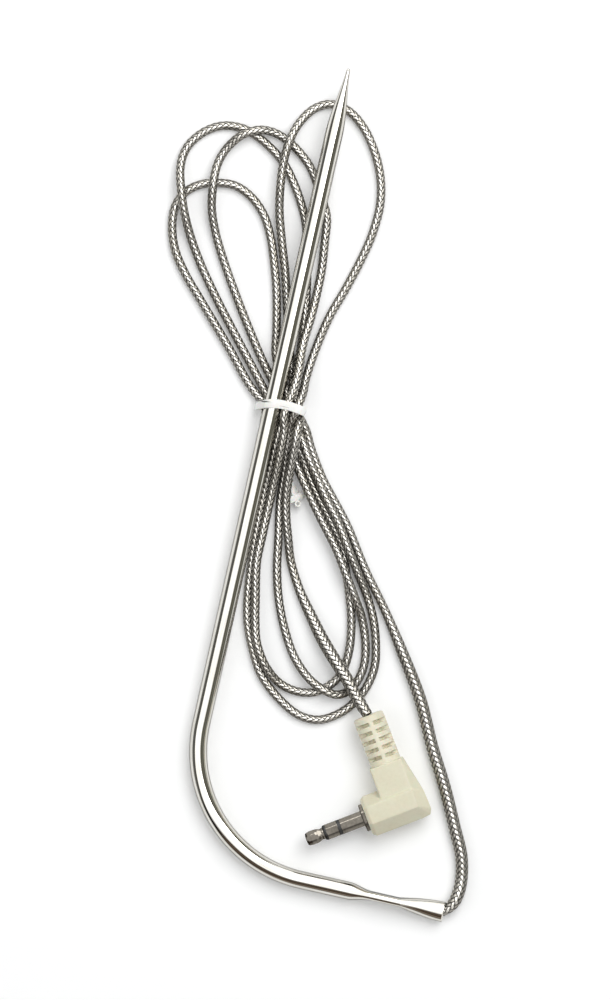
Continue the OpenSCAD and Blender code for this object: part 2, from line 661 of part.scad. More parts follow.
// A drum of solder between each wire's end and its tab.
module solder(x, turn, grow) {
    p = tab_point(x, turn, 0.9);
    translate(p) rotate([0, 90, 0])
        cylinder(r = solder_r + grow, h = 0.9 - fit + grow);
}
module solder_joints() color("lightgray") plug_pose() {
    difference() {
        solder(tip_lug_x, tip_turn, 0);
        wire(signal_path, core_r + fit);
    }
    difference() {
        solder(ring_lug_x, 0, 0);
        wire(return_path, core_r + fit);
    }
    difference() {
        solder(sleeve_lug_x, sleeve_turn, 0);
        wire(drain_path, core_r + fit);
    }
}

// The lead's end in the plug and boot: the braid, up to where its wires part.
module braid_bar(r) rotate([90, 0, 0]) translate([0, 0, -part_y + fit])
    cylinder(r = r, h = arm_l + boot_l + part_y - 2 * fit);
module plug_braid_end() color(BRAID) plug_pose() braid_bar(cord_r);

// The inner mould holds the contacts, the lugs and the wires.
shell_wall = 1.0;
core_barrel_r = barrel_d / 2 - shell_wall;
core_arm_x0 = -arm_back + shell_wall + 0.6;
core_arm_x1 = arm_front - shell_wall;
core_arm_z = arm_t / 2 - shell_wall - 0.6;

module core_shape(grow) {
    turned([[-barrel_back + shell_wall + 0.8 - grow, 0],
        [-barrel_back + shell_wall + 0.8 - grow, core_barrel_r + grow],
        [face + 1, core_barrel_r + grow], [face + 1, 0]]);
    translate([core_arm_x0 - grow, -arm_l + 1 - grow, -core_arm_z - grow])
        cube([core_arm_x1 - core_arm_x0 + 2 * grow, arm_l - 1 + grow,
            2 * (core_arm_z + grow)]);
}

module plug_core() color("lightgray") plug_pose() difference() {
    intersection() {
        core_shape(-fit);
        translate([-20, -20, -20]) cube([20 + face, 40, 40]);
    }
    turned([[tip_back - fit, 0], [tip_back - fit, rod_d / 2 + fit],
        [tip_back + 1.2 - fit, rod_d / 2 + fit], [tip_back + 1.2 - fit, inner_liner_d / 2 + fit],
        [ring_back - fit, inner_liner_d / 2 + fit], [ring_back - fit, ring_tube_d / 2 + fit],
        [ring_back + 1.2 - fit, ring_tube_d / 2 + fit],
        [ring_back + 1.2 - fit, outer_liner_d / 2 + fit],
        [sleeve_back - fit, outer_liner_d / 2 + fit], [sleeve_back - fit, jack_d / 2 + fit],
        [face + 1, jack_d / 2 + fit], [face + 1, 0]]);
    tip_lug_at(fit);
    ring_lug_at(fit);
    sleeve_lug_at(fit);
    solder(tip_lug_x, tip_turn, fit);
    solder(ring_lug_x, 0, fit);
    solder(sleeve_lug_x, sleeve_turn, fit);
    wire(drain_path, core_r + fit);
    for (path = [signal_path, return_path]) {
        wire(path, jacket_r + fit, jacket_share + 0.01);
        wire(path, core_r + fit);
    }
    braid_bar(cord_r + fit);
}

// The arm's outline across the lead: wide bevels on its far edges, small ones on the pin's side.
arm_z = arm_t / 2;
arm_section = [[-arm_back + arm_bevel, -arm_z], [arm_front - arm_edge, -arm_z],
    [arm_front, -arm_z + arm_edge], [arm_front, arm_z - arm_edge],
    [arm_front - arm_edge, arm_z], [-arm_back + arm_bevel, arm_z],
    [-arm_back, arm_z - arm_bevel * 0.6], [-arm_back, -arm_z + arm_bevel * 0.6]];

module plug_outside() {
    turned([[-barrel_back, 0], [-barrel_back, barrel_d / 2 - 1.6],
        [-barrel_back + 0.5, barrel_d / 2 - 0.6], [-barrel_back + 1.6, barrel_d / 2],
        [face - 0.3, barrel_d / 2], [face, barrel_d / 2 - 0.3], [face, 0]]);
    rotate([90, 0, 0]) linear_extrude(arm_l) polygon(arm_section);
}

module plug_body() color(CREAM) plug_pose() difference() {
    plug_outside();
    core_shape(0);
    braid_bar(cord_r + fit);
}

// ---- Strain relief ----

module strain_relief() color(CREAM) plug_pose() rotate([90, 0, 0])
    translate([0, 0, arm_l]) difference() {
        cylinder(d = boot_d, h = boot_l);
        translate([0, 0, -1]) cylinder(r = cord_r + fit, h = boot_l + 2);
        for (k = [0 : boot_slots - 1])
            translate([0, 0, 1.25 + k * slot_pitch]) difference() {
                cylinder(d = boot_d + 2, h = slot_w);
                translate([0, 0, -1]) cylinder(d = boot_core_d, h = slot_w + 2);
                for (turn = [0, 90]) rotate([0, 0, turn])
                    translate([-boot_d, -spine_w / 2, -1])
                        cube([2 * boot_d, spine_w, slot_w + 2]);
            }
    }

// ---- Assembly ----

probe_tube();
tip_compound();
thermistor_bead();
thermistor_leads();
bead_sleeve();
splice_ferrules();
splice_sleeves();
signal_conductor();
return_conductor();
signal_insulation();
return_insulation();
braid_tail();
lead_from_probe();
lead_hank();
lead_to_plug();
strain_relief();
plug_body();
plug_core();
sleeve_contact();
sleeve_insulator();
ring_contact();
ring_insulator();
tip_contact();
sleeve_lug();
ring_lug();
tip_lug();
solder_joints();
plug_braid_end();
plug_signal_wire();
plug_return_wire();
plug_wire_insulation();
braid_pigtail();
tie_jacket();
tie_wire();
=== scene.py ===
# %% [markdown]
# # A wired meat thermometer probe, tied up with its lead
# This lesson dresses a finished CAD model. The probe is a thin steel tube, bent like a
# walking stick, with a sharp point at one end and a crimp at the other. A lead with a
# stainless steel braid leaves the crimp, is wound into a figure-eight hank, and ends in a
# right-angled jack plug. A white twist tie holds the hank and the probe together.
# The CAD model is loaded first and never moved. Every new piece is placed from it.

# %% Load the CAD model
import math
import bpy
import bmesh
import numpy as np
from mathutils import Matrix, Vector


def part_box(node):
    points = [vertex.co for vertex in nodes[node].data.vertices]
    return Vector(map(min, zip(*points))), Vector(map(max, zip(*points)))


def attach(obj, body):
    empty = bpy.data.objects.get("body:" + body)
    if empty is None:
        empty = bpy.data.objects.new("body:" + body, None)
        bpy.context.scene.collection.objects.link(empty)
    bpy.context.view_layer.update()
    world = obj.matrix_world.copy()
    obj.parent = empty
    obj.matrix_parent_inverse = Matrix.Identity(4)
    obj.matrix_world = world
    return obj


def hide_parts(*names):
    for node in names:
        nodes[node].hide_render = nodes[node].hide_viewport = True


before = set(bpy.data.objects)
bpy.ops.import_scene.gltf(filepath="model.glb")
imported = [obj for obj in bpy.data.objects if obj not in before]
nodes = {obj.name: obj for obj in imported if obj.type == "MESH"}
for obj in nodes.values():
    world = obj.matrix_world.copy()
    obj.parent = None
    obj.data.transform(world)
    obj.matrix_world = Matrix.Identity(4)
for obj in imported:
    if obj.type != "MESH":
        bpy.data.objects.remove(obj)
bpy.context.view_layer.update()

# %% [markdown]
# The maker of the CAD model measured everything in millimetres from one corner: the point
# where the axes of the probe's two legs cross. The long leg runs along +Y from it and the
# short leg along +X. That corner is found again from the box of the probe tube, whose long
# leg touches the box's left side, and whose point touches its far side.

# %% The corner of the two legs
MM = 0.001
TUBE_R = 2.0
LONG_LEG, SHORT_LEG, BEND_R = 180.0, 62.4, 29.5
REST_Z = 2.6
TILT = math.radians(1.18)
tube_low, tube_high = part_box("probe_tube")
CORNER = np.array([tube_low.x + TUBE_R * MM,
                   tube_high.y - LONG_LEG * math.cos(TILT) * MM, 0.0])


def place(points):
    """Millimetres from the corner to metres in the model's own frame."""
    return np.asarray(points, float) * MM + CORNER


print("corner of the legs at", CORNER)

# %% [markdown]
# The camera looks straight down on the table, turned a little so that the probe stands
# aslant. It stands well back, like a hand-held camera above a table, which keeps the
# perspective mild. A camera's own X, Y and Z are its right, its up and the way back from
# what it sees, so three columns make its rotation. The lens is worked out from the height
# that the view should cover at the level where the lead lies.

# %% Camera
VIEW_CENTRE = place([11.8, 83.5, 0])
VIEW_HEIGHT = 0.2247
CAMERA_UP = 1.50
LEAD_MIDDLE = 0.0025
slant = math.radians(12.7)
right = Vector((math.cos(slant), math.sin(slant), 0))
up = Vector((-math.sin(slant), math.cos(slant), 0))
camera = bpy.data.objects.new("camera", bpy.data.cameras.new("camera"))
bpy.context.scene.collection.objects.link(camera)
camera.matrix_world = Matrix.Translation((VIEW_CENTRE[0], VIEW_CENTRE[1], CAMERA_UP)) @ \
    Matrix((right, up, Vector((0, 0, 1)))).transposed().to_4x4()
camera.data.sensor_fit = "VERTICAL"
camera.data.sensor_height = 24
camera.data.lens = camera.data.sensor_height * (CAMERA_UP - LEAD_MIDDLE) / VIEW_HEIGHT
bpy.context.scene.camera = camera
print("lens", round(camera.data.lens, 1), "mm")

# %% [markdown]
# ## The lead's route
# A lead is one smooth curve of fixed length. Each place on it is given as x and y in
# millimetres from the corner, the layer it lies in, and how much its braid bulges. Layer 0
# lies on the table and each whole layer rides one lead's thickness higher, so a strand that
# crosses two others there climbs to layer 2. The braid is a loose sleeve, and it bulges
# where it leaves the crimp and where it comes to the plug.

# %% Places along the lead
LEAD_D, LAYER_GAP, BULGE = 2.0, 0.05, 0.45
ROUTE = [
    # From the mouth of the crimp, round and up to the tie.
    [(60.5, -0.4, 0.76, 0), (61.5, -0.2, 0.74, 0.1), (62.8, 0.6, 0.66, 0.3),
     (64.1, 2.4, 0.5, 0.8), (64.7, 4.8, 0.26, 1), (64.7, 8.2, 0, 1), (63.6, 13, 0, 1),
     (60.6, 19.2, 0, 1), (56.6, 27.2, 0, 1), (51.8, 35.6, 0, 1), (46.8, 45.4, 0, 1),
     (40.6, 54.8, 0, 0.7), (34.4, 63.6, 0, 0), (28.4, 71.1, 0, 0), (22, 80.2, 0, 0),
     (17.9, 85, 0, 0), (14.5, 89, 0, 0), (10.4, 95.2, 0, 0), (8.6, 98.6, 0.05, 0),
     (6.4, 101.4, 0.25, 0), (5, 103.3, 0.37, 0)],
    # Up the right side of the middle, over the probe's left, and down the widest upper loop.
    [(4, 106.4, 0.25, 0), (2.6, 110.4, 0.05, 0), (0.6, 117, 0, 0), (-2.2, 126.4, 0, 0),
     (-3.9, 132.4, 0, 0), (-6.3, 139.4, 0.15, 0), (-8.2, 145.6, 0.5, 0),
     (-9.2, 151, 0.95, 0), (-9.7, 156.4, 1, 0), (-9.4, 161.6, 1, 0), (-8.1, 166.1, 0.4, 0),
     (-5.5, 169.9, 0, 0), (-2.2, 171.6, 0, 0), (2, 171, 0, 0), (6.2, 168, 0, 0),
     (10, 162.9, 0, 0), (12.5, 157.4, 0, 0), (13.6, 151.8, 0, 0), (13.3, 144.9, 0, 0),
     (12, 138.4, 0, 0), (10.1, 131.5, 0, 0), (8, 124.8, 0, 0), (6.6, 117.2, 0.1, 0),
     (5.9, 110, 0.95, 0), (6, 107, 1.6, 0), (5.7, 104.6, 2.2, 0), (5.3, 102.6, 2.38, 0)],
    # Down to the right of the probe and round the inner lower loop.
    [(4.9, 100.6, 2, 0), (4.9, 98.2, 1.5, 0), (5.2, 94.4, 1.25, 0), (5.7, 90, 0.7, 0),
     (6, 86, 0.3, 0), (6.3, 82, 0, 0), (7.8, 73.6, 0, 0), (9, 66.8, 0, 0),
     (10.9, 60.3, 0, 0), (13.7, 54, 0, 0), (17.3, 48.3, 0.1, 0), (21.6, 44.4, 0.8, 0),
     (25.4, 42.7, 1, 0), (28.4, 42.4, 0.6, 0), (30.8, 43.9, 0, 0), (32.2, 46.6, 0, 0),
     (32.8, 50, 0, 0), (32.2, 54.4, 0, 0), (30.2, 60, 0.1, 0), (27.4, 64.6, 0.8, 0),
     (24.2, 69.4, 1.05, 0), (21, 74.2, 1, 0), (16.2, 80, 0.9, 0), (13.1, 83.9, 0.85, 0),
     (10.2, 87.8, 0.8, 0), (8.6, 90, 0.45, 0), (6.9, 92.2, 0.1, 0), (4.2, 94.9, 0, 0),
     (0.4, 98.4, 0.05, 0), (-1.2, 100.6, 0.3, 0)],
    # Left of the tie, and round the outermost upper loop on the left.
    [(-1.95, 102.6, 0.37, 0), (-4.1, 104.2, 0.15, 0), (-6.8, 106.6, 0, 0),
     (-12.1, 112.6, 0, 0), (-21.6, 122.7, 0, 0), (-25.7, 127.1, 0, 0), (-29.2, 132, 0, 0),
     (-31, 137, 0, 0), (-31.3, 141.6, 0, 0), (-29.8, 145.1, 0, 0), (-26.9, 147.5, 0, 0),
     (-23.4, 148.7, 0, 0), (-19.2, 149, 0, 0), (-15.2, 147.4, 0, 0), (-11.6, 144.2, 0, 0),
     (-9, 139.8, 0, 0), (-7.2, 135.2, 0, 0), (-4.9, 128, 0, 0), (-3, 119.6, 0, 0),
     (-1.9, 114, 0, 0), (0, 110, 0.05, 0), (2, 106.8, 0.65, 0), (3.05, 103.4, 1.36, 0)],
    # Down beside the probe and round the widest lower loop.
    [(2.9, 100.4, 1.35, 0), (2.8, 97.8, 1.3, 0), (2.6, 93.6, 1, 0), (2.6, 89.6, 0.6, 0),
     (2.5, 84, 0.1, 0), (2.5, 79, 0, 0), (2.9, 69, 0, 0), (4, 59, 0, 0), (5.2, 53.8, 0, 0),
     (7.2, 49, 0, 0), (10.7, 43, 0, 0), (16.1, 38.4, 0, 0), (21.3, 35.9, 0, 0),
     (25.8, 36, 0, 0), (29.9, 38.5, 0, 0), (32.4, 41.4, 0, 0), (34.3, 45.2, 0, 0),
     (35.2, 50, 0, 0), (34.5, 54.8, 0, 0), (32.7, 60.4, 0, 0), (30.2, 65.2, 0, 0),
     (26.8, 70.2, 0.6, 0), (23.7, 74.7, 1, 0), (19.9, 80.4, 0.9, 0), (16.3, 84.8, 0.85, 0),
     (13.4, 88.8, 0.8, 0), (10.4, 92.8, 0.85, 0), (7.2, 97.6, 0.4, 0),
     (4.5, 100.4, 0.3, 0), (2.15, 103, 0.37, 0)],
    # Up to the left, and round the inner upper loop.
    [(0.8, 105.3, 0.2, 0), (-1.5, 108.2, 0.02, 0), (-5.3, 113, 0, 0), (-13.2, 124.4, 0, 0),
     (-18.6, 133, 0, 0), (-21.2, 137.8, 0.15, 0), (-23.1, 142.6, 0.6, 0), (-24, 148, 1, 0),
     (-24.1, 152.6, 0.6, 0), (-23.1, 156.2, 0.5, 0), (-20.6, 159.9, 0.95, 0),
     (-18.6, 161.4, 1, 0), (-16.4, 162.4, 0.8, 0), (-13.6, 162.6, 0.3, 0),
     (-10.6, 161.8, 0, 0), (-7.1, 159.8, 0, 0), (-3.8, 157, 0, 0), (-1.6, 154, 0, 0),
     (0.8, 150, 0, 0), (2.5, 146.6, 0, 0), (3.3, 141, 0, 0), (4, 134.6, 0, 0),
     (4.1, 130.6, 0.1, 0), (4, 124, 0.75, 0), (3.6, 117.4, 1.2, 0), (4, 110.8, 2, 0),
     (3.8, 107, 2.25, 0), (3.2, 103.2, 2.42, 0)],
    # Down again, and round the middle lower loop.
    [(3, 100.6, 2.5, 0), (3.8, 97.8, 2.3, 0), (4, 93.8, 2.05, 0), (4.1, 89.6, 1.6, 0),
     (4.1, 84.8, 0.95, 0), (4.1, 80, 0.7, 0), (4.1, 74, 0.75, 0), (4.2, 67.6, 0.85, 0),
     (5.8, 59.1, 0.75, 0), (6.9, 54, 0.75, 0), (8.2, 49.8, 0.85, 0), (11.2, 45.2, 0.7, 0),
     (15.3, 42, 0, 0), (19.4, 41.1, 0, 0), (23, 41.7, 0, 0), (26.3, 44.1, 0, 0),
     (28.3, 47.6, 0, 0), (28.8, 52.8, 0, 0), (27.8, 59.4, 0, 0), (26.3, 64.2, 0, 0),
     (24.6, 68.8, 0, 0), (22.4, 74.4, 0, 0), (18.1, 80.4, 0, 0), (14.7, 84.4, 0, 0),
     (11.8, 88.2, 0, 0), (8.7, 93.2, 0, 0), (4.4, 97.6, 0.05, 0), (1.5, 100.2, 0.2, 0),
     (0.1, 102.4, 0.37, 0)],
    # Up to the left, and round the middle upper loop.
    [(-2.4, 105.3, 0.15, 0), (-6.6, 110.2, 0, 0), (-17.6, 123.2, 0, 0),
     (-23.1, 130.4, 0, 0), (-26.6, 135.9, 0.3, 0), (-29.2, 141.1, 0.9, 0),
     (-30.8, 145.4, 1, 0), (-32, 149.8, 0.5, 0), (-32.1, 153.1, 0.1, 0),
     (-31.2, 156, 0, 0), (-28.5, 159.4, 0, 0), (-25, 161.5, 0, 0), (-21, 162, 0, 0),
     (-18.1, 161.4, 0, 0), (-15.5, 160.3, 0, 0), (-12.1, 158.3, 0, 0), (-9.2, 155.9, 0, 0),
     (-6.1, 152, 0, 0), (-3.2, 147.2, 0, 0), (-1.6, 143.6, 0, 0), (0.4, 136, 0, 0),
     (1.6, 130, 0, 0), (2.6, 124, 0, 0), (3.3, 116.2, 0.3, 0), (3.4, 111.6, 1.02, 0),
     (4.2, 107, 1.25, 0), (5.3, 103.6, 1.38, 0)],
    # Down over all the others to the plug.
    [(6.3, 101.6, 1.5, 0), (6.7, 99.9, 1.95, 0), (6.6, 98, 2.35, 0), (6.8, 96, 2.4, 0),
     (6.9, 93.4, 2.15, 0), (7, 90, 1.75, 0), (7.1, 86.4, 1.35, 0), (7.6, 82.4, 0.95, 0),
     (8.6, 78.2, 0.7, 0), (10, 74, 0.4, 0), (11.6, 69.4, 0, 0), (15, 63.4, 0, 0.2),
     (19.2, 57.8, 0.1, 0.7), (22.6, 53.6, 0.5, 1), (26, 50, 1, 1), (29.8, 46.2, 1.15, 1),
     (32.6, 43, 1.2, 1), (34.7, 40.8, 1.5, 0.75), (36.05, 39.5, 1.7, 0.4)],
]
places = [p for leg in ROUTE for p in leg]
print("places along the lead:", len(places))

# %% [markdown]
# A centripetal Catmull-Rom curve passes through every place and never loops back between
# two close ones, which a plain one can. The three blends below are its usual recipe.

# %% One smooth curve through the places
def smooth_curve(points, step):
    """Points about one step apart on the centripetal curve through the given ones."""
    p = np.asarray(points, float)
    p = np.vstack([2 * p[0] - p[1], p, 2 * p[-1] - p[-2]])
    out = []
    for q0, q1, q2, q3 in zip(p, p[1:], p[2:], p[3:]):
        gaps = [max(1e-6, np.linalg.norm((b - a)[:3]) ** 0.5)
                for a, b in ((q0, q1), (q1, q2), (q2, q3))]
        t0, t1, t2, t3 = np.cumsum([0] + gaps)
        n = max(1, math.ceil(np.linalg.norm((q2 - q1)[:3]) / step))
        t = t1 + (t2 - t1) * np.arange(n)[:, None] / n
        a1 = ((t1 - t) * q0 + (t - t0) * q1) / (t1 - t0)
        a2 = ((t2 - t) * q1 + (t - t1) * q2) / (t2 - t1)
        a3 = ((t3 - t) * q2 + (t - t2) * q3) / (t3 - t2)
        b1 = ((t2 - t) * a1 + (t - t0) * a2) / (t2 - t0)
        b2 = ((t3 - t) * a2 + (t - t1) * a3) / (t3 - t1)
        out.append(((t2 - t) * b1 + (t - t1) * b2) / (t2 - t1))
    return np.vstack(out + [p[-2:-1]])


def along(points):
    """How far along the curve each of its points lies."""
    return np.r_[0, np.cumsum(np.linalg.norm(np.diff(points[:, :3], axis=0), axis=1))]


def even_spacing(points, step):
    """The same curve with its points the same distance apart."""
    s = along(points)
    even = np.linspace(0, s[-1], int(s[-1] / step) + 1)
    return np.column_stack([np.interp(even, s, c) for c in points.T])


lead_places = []
for x, y, layer, bulge in places:
    r = LEAD_D / 2 * (1 + BULGE * bulge)
    lead_places.append([x, y, r + layer * (LEAD_D + LAYER_GAP), r])
lead_curve = even_spacing(smooth_curve(lead_places, 0.4), 0.25)
lead_s = along(lead_curve)

# %% [markdown]
# ## One way to make long pieces
# The lead, the probe, the tie and the plug's boot are all skins drawn over a row of rings.
# One helper takes a grid of points, ring by ring, and joins them with four-sided faces. It
# also writes a UV map: U runs once round each ring and V runs along the piece in
# millimetres, which is what a braid or a drawn finish needs to follow the piece.

# %% A skin over a row of rings
def ring_skin(name, rings, v, cap_start=True, cap_end=True):
    """A mesh object over rings[k][i], a point in millimetres from the corner."""
    rings = np.asarray(rings, float)
    count, around = rings.shape[:2]
    k, i = np.meshgrid(np.arange(count - 1), np.arange(around), indexing="ij")
    j = (i + 1) % around
    quads = np.stack([k * around + i, (k + 1) * around + i,
                      (k + 1) * around + j, k * around + j], -1).reshape(-1, 4)
    faces = quads.tolist()
    caps = []
    if cap_start:
        caps.append(list(range(around)))
    if cap_end:
        caps.append(list(range(count * around - 1, (count - 1) * around - 1, -1)))
    mesh = bpy.data.meshes.new(name)
    mesh.from_pydata(place(rings.reshape(-1, 3)).tolist(), [], faces + caps)
    near, far = i / around, (i + 1) / around
    uv = np.stack([np.stack([near, v[k]], -1), np.stack([near, v[k + 1]], -1),
                   np.stack([far, v[k + 1]], -1), np.stack([far, v[k]], -1)], 2).reshape(-1, 2)
    uv = np.vstack([uv] + [np.zeros((len(c), 2)) for c in caps])
    mesh.uv_layers.new(name="wrap").data.foreach_set("uv", uv.ravel())
    mesh.polygons.foreach_set("use_smooth", [True] * len(quads) + [False] * len(caps))
    piece = bpy.data.objects.new(name, mesh)
    bpy.context.scene.collection.objects.link(piece)
    return piece


def unit(v):
    """The same ways, each one long."""
    return v / np.maximum(np.linalg.norm(v, axis=-1, keepdims=True), 1e-9)


def side_and_up(points):
    """For each point of a curve that never climbs steeply, the ways across it and up."""
    ahead = unit(np.gradient(points[:, :3], axis=0))
    side = unit(np.cross(ahead, [0, 0, 1.0]))
    return side, np.cross(side, ahead)


# %% [markdown]
# ## The braided lead
# The lead's cover is sixteen flat bundles of fine stainless wire, eight wound each way. Each
# passes over two of the others and then under two, which draws columns of slanted dashes
# along the lead, like a herringbone. In a map where U runs round and V runs along, the
# bundles are two families of slanted stripes. Counting both families at a place, in fours,
# says which one is on top. The mesh gets a low relief of that, and the material adds wires.

# %% The lead's mesh
CARRIERS, BEAD, BRAID_DEPTH = 8, 1.3, 0.10
LEAD_SIDES = 32


def braid_relief(u, v):
    """Height from 0 in the gaps to 1 on top of a bundle."""
    a, b = CARRIERS * u + v, CARRIERS * u - v
    first = (np.floor(a) + np.floor(b)) % 4 < 2
    over = np.where(first, a % 1, b % 1)
    run = np.where(first, (b + np.floor(a)) % 4, (a + np.floor(b) - 2) % 4) / 2
    return np.sqrt(np.sin(np.pi * over)) * (0.5 + 0.5 * np.sin(np.pi * np.clip(run, 0, 1)))


side, upward = side_and_up(lead_curve)
bead_v = lead_s / BEAD
turn = np.arange(LEAD_SIDES) / LEAD_SIDES
relief = braid_relief(turn[None, :], bead_v[:, None])
radius = lead_curve[:, 3:4] - BRAID_DEPTH + BRAID_DEPTH * relief
angle = 2 * np.pi * turn
rings = (lead_curve[:, None, :3]
         + radius[..., None] * (np.cos(angle)[None, :, None] * side[:, None]
                                + np.sin(angle)[None, :, None] * upward[:, None]))
lead = ring_skin("braided_lead", rings, bead_v)
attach(lead, "root")
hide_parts("lead_from_probe", "lead_hank", "lead_to_plug")
print("lead faces:", len(lead.data.polygons))

# %% [markdown]
# ## The probe tube
# The tube is one skin: round along both legs, drawn to a point at one end, and pressed
# narrow at the crimp, where it keeps its girth and so grows taller. Behind the crimp it
# opens again like a slim horn into a mouth. The outer skin turns in at the mouth's rim and
# runs back inside as the bore. It is made flat first and then tilted, because its long leg
# rests on the bundle in the tie.

# %% Sections of the tube
POINT_L, POINT_END_R = 16.0, 0.45
CRIMP_X, CRIMP_FLAT, CRIMP_SLOPE = 49.0, 6.4, 5.4
CRIMP_W, MOUTH_FLARE, HORN_CURVE, WALL = 1.9, 0.6, 1.9, 0.35
CRIMP_H = CRIMP_W + math.pi * (2 * TUBE_R - CRIMP_W) / 2
crimp_start = CRIMP_X - CRIMP_FLAT / 2 - CRIMP_SLOPE
crimp_end = CRIMP_X + CRIMP_FLAT / 2


def ease(t):
    """From 0 to 1 with a soft start and a soft end."""
    t = np.clip(t, 0, 1)
    return t * t * (3 - 2 * t)


def end_section(x, inset, t):
    """Half width and height at angle t, of the tube at x on the short leg."""
    share = ease((x - crimp_start) / CRIMP_SLOPE) if x < CRIMP_X else \
        min(1.0, max(0.0, (SHORT_LEG - x) / (SHORT_LEG - crimp_end))) ** HORN_CURVE
    wide = TUBE_R if x < CRIMP_X else TUBE_R + MOUTH_FLARE / 2
    high = TUBE_R if x < CRIMP_X else TUBE_R - MOUTH_FLARE / 2
    a = share * CRIMP_W / 2 + (1 - share) * wide - inset
    b = share * CRIMP_H / 2 + (1 - share) * high - inset
    flat = share * max(0.0, b - a)
    return a * np.cos(t), np.sign(np.sin(t)) * flat + (b - flat) * np.sin(t)


def tilted(points):
    """From the flat probe to the probe as it rests."""
    x, y, z = np.moveaxis(np.asarray(points, float), -1, 0)
    return np.stack([x, y * math.cos(TILT) - z * math.sin(TILT),
                     y * math.sin(TILT) + z * math.cos(TILT) + REST_Z], -1)


# %% The tube's mesh
TUBE_SIDES = 72
t = 2 * np.pi * (np.arange(TUBE_SIDES) + 0.5) / TUBE_SIDES
rings, v = [], []


def add_ring(centre, across, half_w, half_h, at):
    """One more ring of the tube's skin, at a place along its map."""
    rings.append(np.asarray(centre, float) + half_w[:, None] * np.asarray(across, float)
                 + half_h[:, None] * np.array([0, 0, 1.0]))
    v.append(at)


for tip in np.linspace(0.15, 1, 5) * math.pi / 2:
    r = POINT_END_R * math.sin(tip)
    add_ring([0, LONG_LEG - POINT_END_R * (1 - math.sin(math.acos(r / POINT_END_R))), 0],
             [-1, 0, 0], r * np.cos(t), r * np.sin(t), 0.3 * tip)
for s in np.linspace(POINT_END_R, POINT_L, 40):
    r = POINT_END_R + (TUBE_R - POINT_END_R) * (1 - math.cos(math.pi * (s / POINT_L) ** 0.85)) / 2
    add_ring([0, LONG_LEG - s, 0], [-1, 0, 0], r * np.cos(t), r * np.sin(t), s)
for y in np.linspace(LONG_LEG - POINT_L - 1, BEND_R, 60):
    add_ring([0, y, 0], [-1, 0, 0], TUBE_R * np.cos(t), TUBE_R * np.sin(t), LONG_LEG - y)
for bend in np.linspace(0, math.pi / 2, 61)[1:]:
    out = [-math.cos(bend), -math.sin(bend), 0]
    add_ring([BEND_R * (1 + out[0]), BEND_R * (1 + out[1]), 0], out,
             TUBE_R * np.cos(t), TUBE_R * np.sin(t), LONG_LEG - BEND_R + bend * BEND_R)
leg_v = v[-1] - BEND_R
for x in np.r_[np.linspace(BEND_R, crimp_start, 12)[1:],
               np.linspace(crimp_start, SHORT_LEG - 0.05, 70)[1:]]:
    add_ring([x, 0, 0], [0, -1, 0], *end_section(x, 0, t), leg_v + x)
for x, inset in ((SHORT_LEG, 0.05), (SHORT_LEG, 0.17), (SHORT_LEG - 0.05, 0.31)):
    add_ring([x, 0, 0], [0, -1, 0], *end_section(x, inset, t), leg_v + x + inset)
for x in np.linspace(SHORT_LEG - 0.1, crimp_start + 2, 50):
    add_ring([x, 0, 0], [0, -1, 0], *end_section(x, WALL, t), leg_v + 2 * SHORT_LEG - x)
tube = ring_skin("probe_tube_skin", tilted(rings), np.array(v))
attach(tube, "root")
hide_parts("probe_tube")
print("tube faces:", len(tube.data.polygons), "crimp height:", round(CRIMP_H, 2), "mm")

# %% [markdown]
# ## The plug
# The plug is placed once, and its pieces are made in its own frame: X runs out along the
# contacts, and the lead comes in along -Y. The moulded body is two blocks, one around the
# contacts and one around the lead. Each block is a convex hull of a few corners, so that
# its bevels are easy to give. A voxel remesh fuses them, and smoothing rounds the
# edges as a moulding has them.

# %% The plug's place
PLUG_AT, PLUG_TURN = (47.8, 21.8, 4.7), math.radians(213.6)


def plug_place(points):
    """From the plug's own frame to millimetres from the corner."""
    x, y, z = np.moveaxis(np.asarray(points, float), -1, 0)
    c, s = math.cos(PLUG_TURN), math.sin(PLUG_TURN)
    return np.stack([x * c - y * s + PLUG_AT[0], x * s + y * c + PLUG_AT[1],
                     z + PLUG_AT[2]], -1)


def hull_block(bm, points):
    """Adds the convex hull of some points of the plug's frame."""
    verts = [bm.verts.new(p) for p in place(plug_place(points))]
    made = bmesh.ops.convex_hull(bm, input=verts)
    spare = {e for e in made["geom_interior"] + made["geom_unused"]
             if isinstance(e, bmesh.types.BMVert)}
    bmesh.ops.delete(bm, geom=list(spare), context="VERTS")


def fuse(piece, voxel, rounds):
    """Joins a piece's blocks with a voxel remesh and rounds its edges."""
    remesh = piece.modifiers.new("fuse", "REMESH")
    remesh.mode, remesh.voxel_size = "VOXEL", voxel * MM
    soften = piece.modifiers.new("soften", "SMOOTH")
    soften.factor, soften.iterations = 0.5, rounds
    bpy.context.view_layer.update()
    dressed = piece.evaluated_get(bpy.context.evaluated_depsgraph_get())
    mesh = bpy.data.meshes.new_from_object(dressed)
    piece.modifiers.clear()
    piece.data = mesh
    mesh.polygons.foreach_set("use_smooth", [True] * len(mesh.polygons))


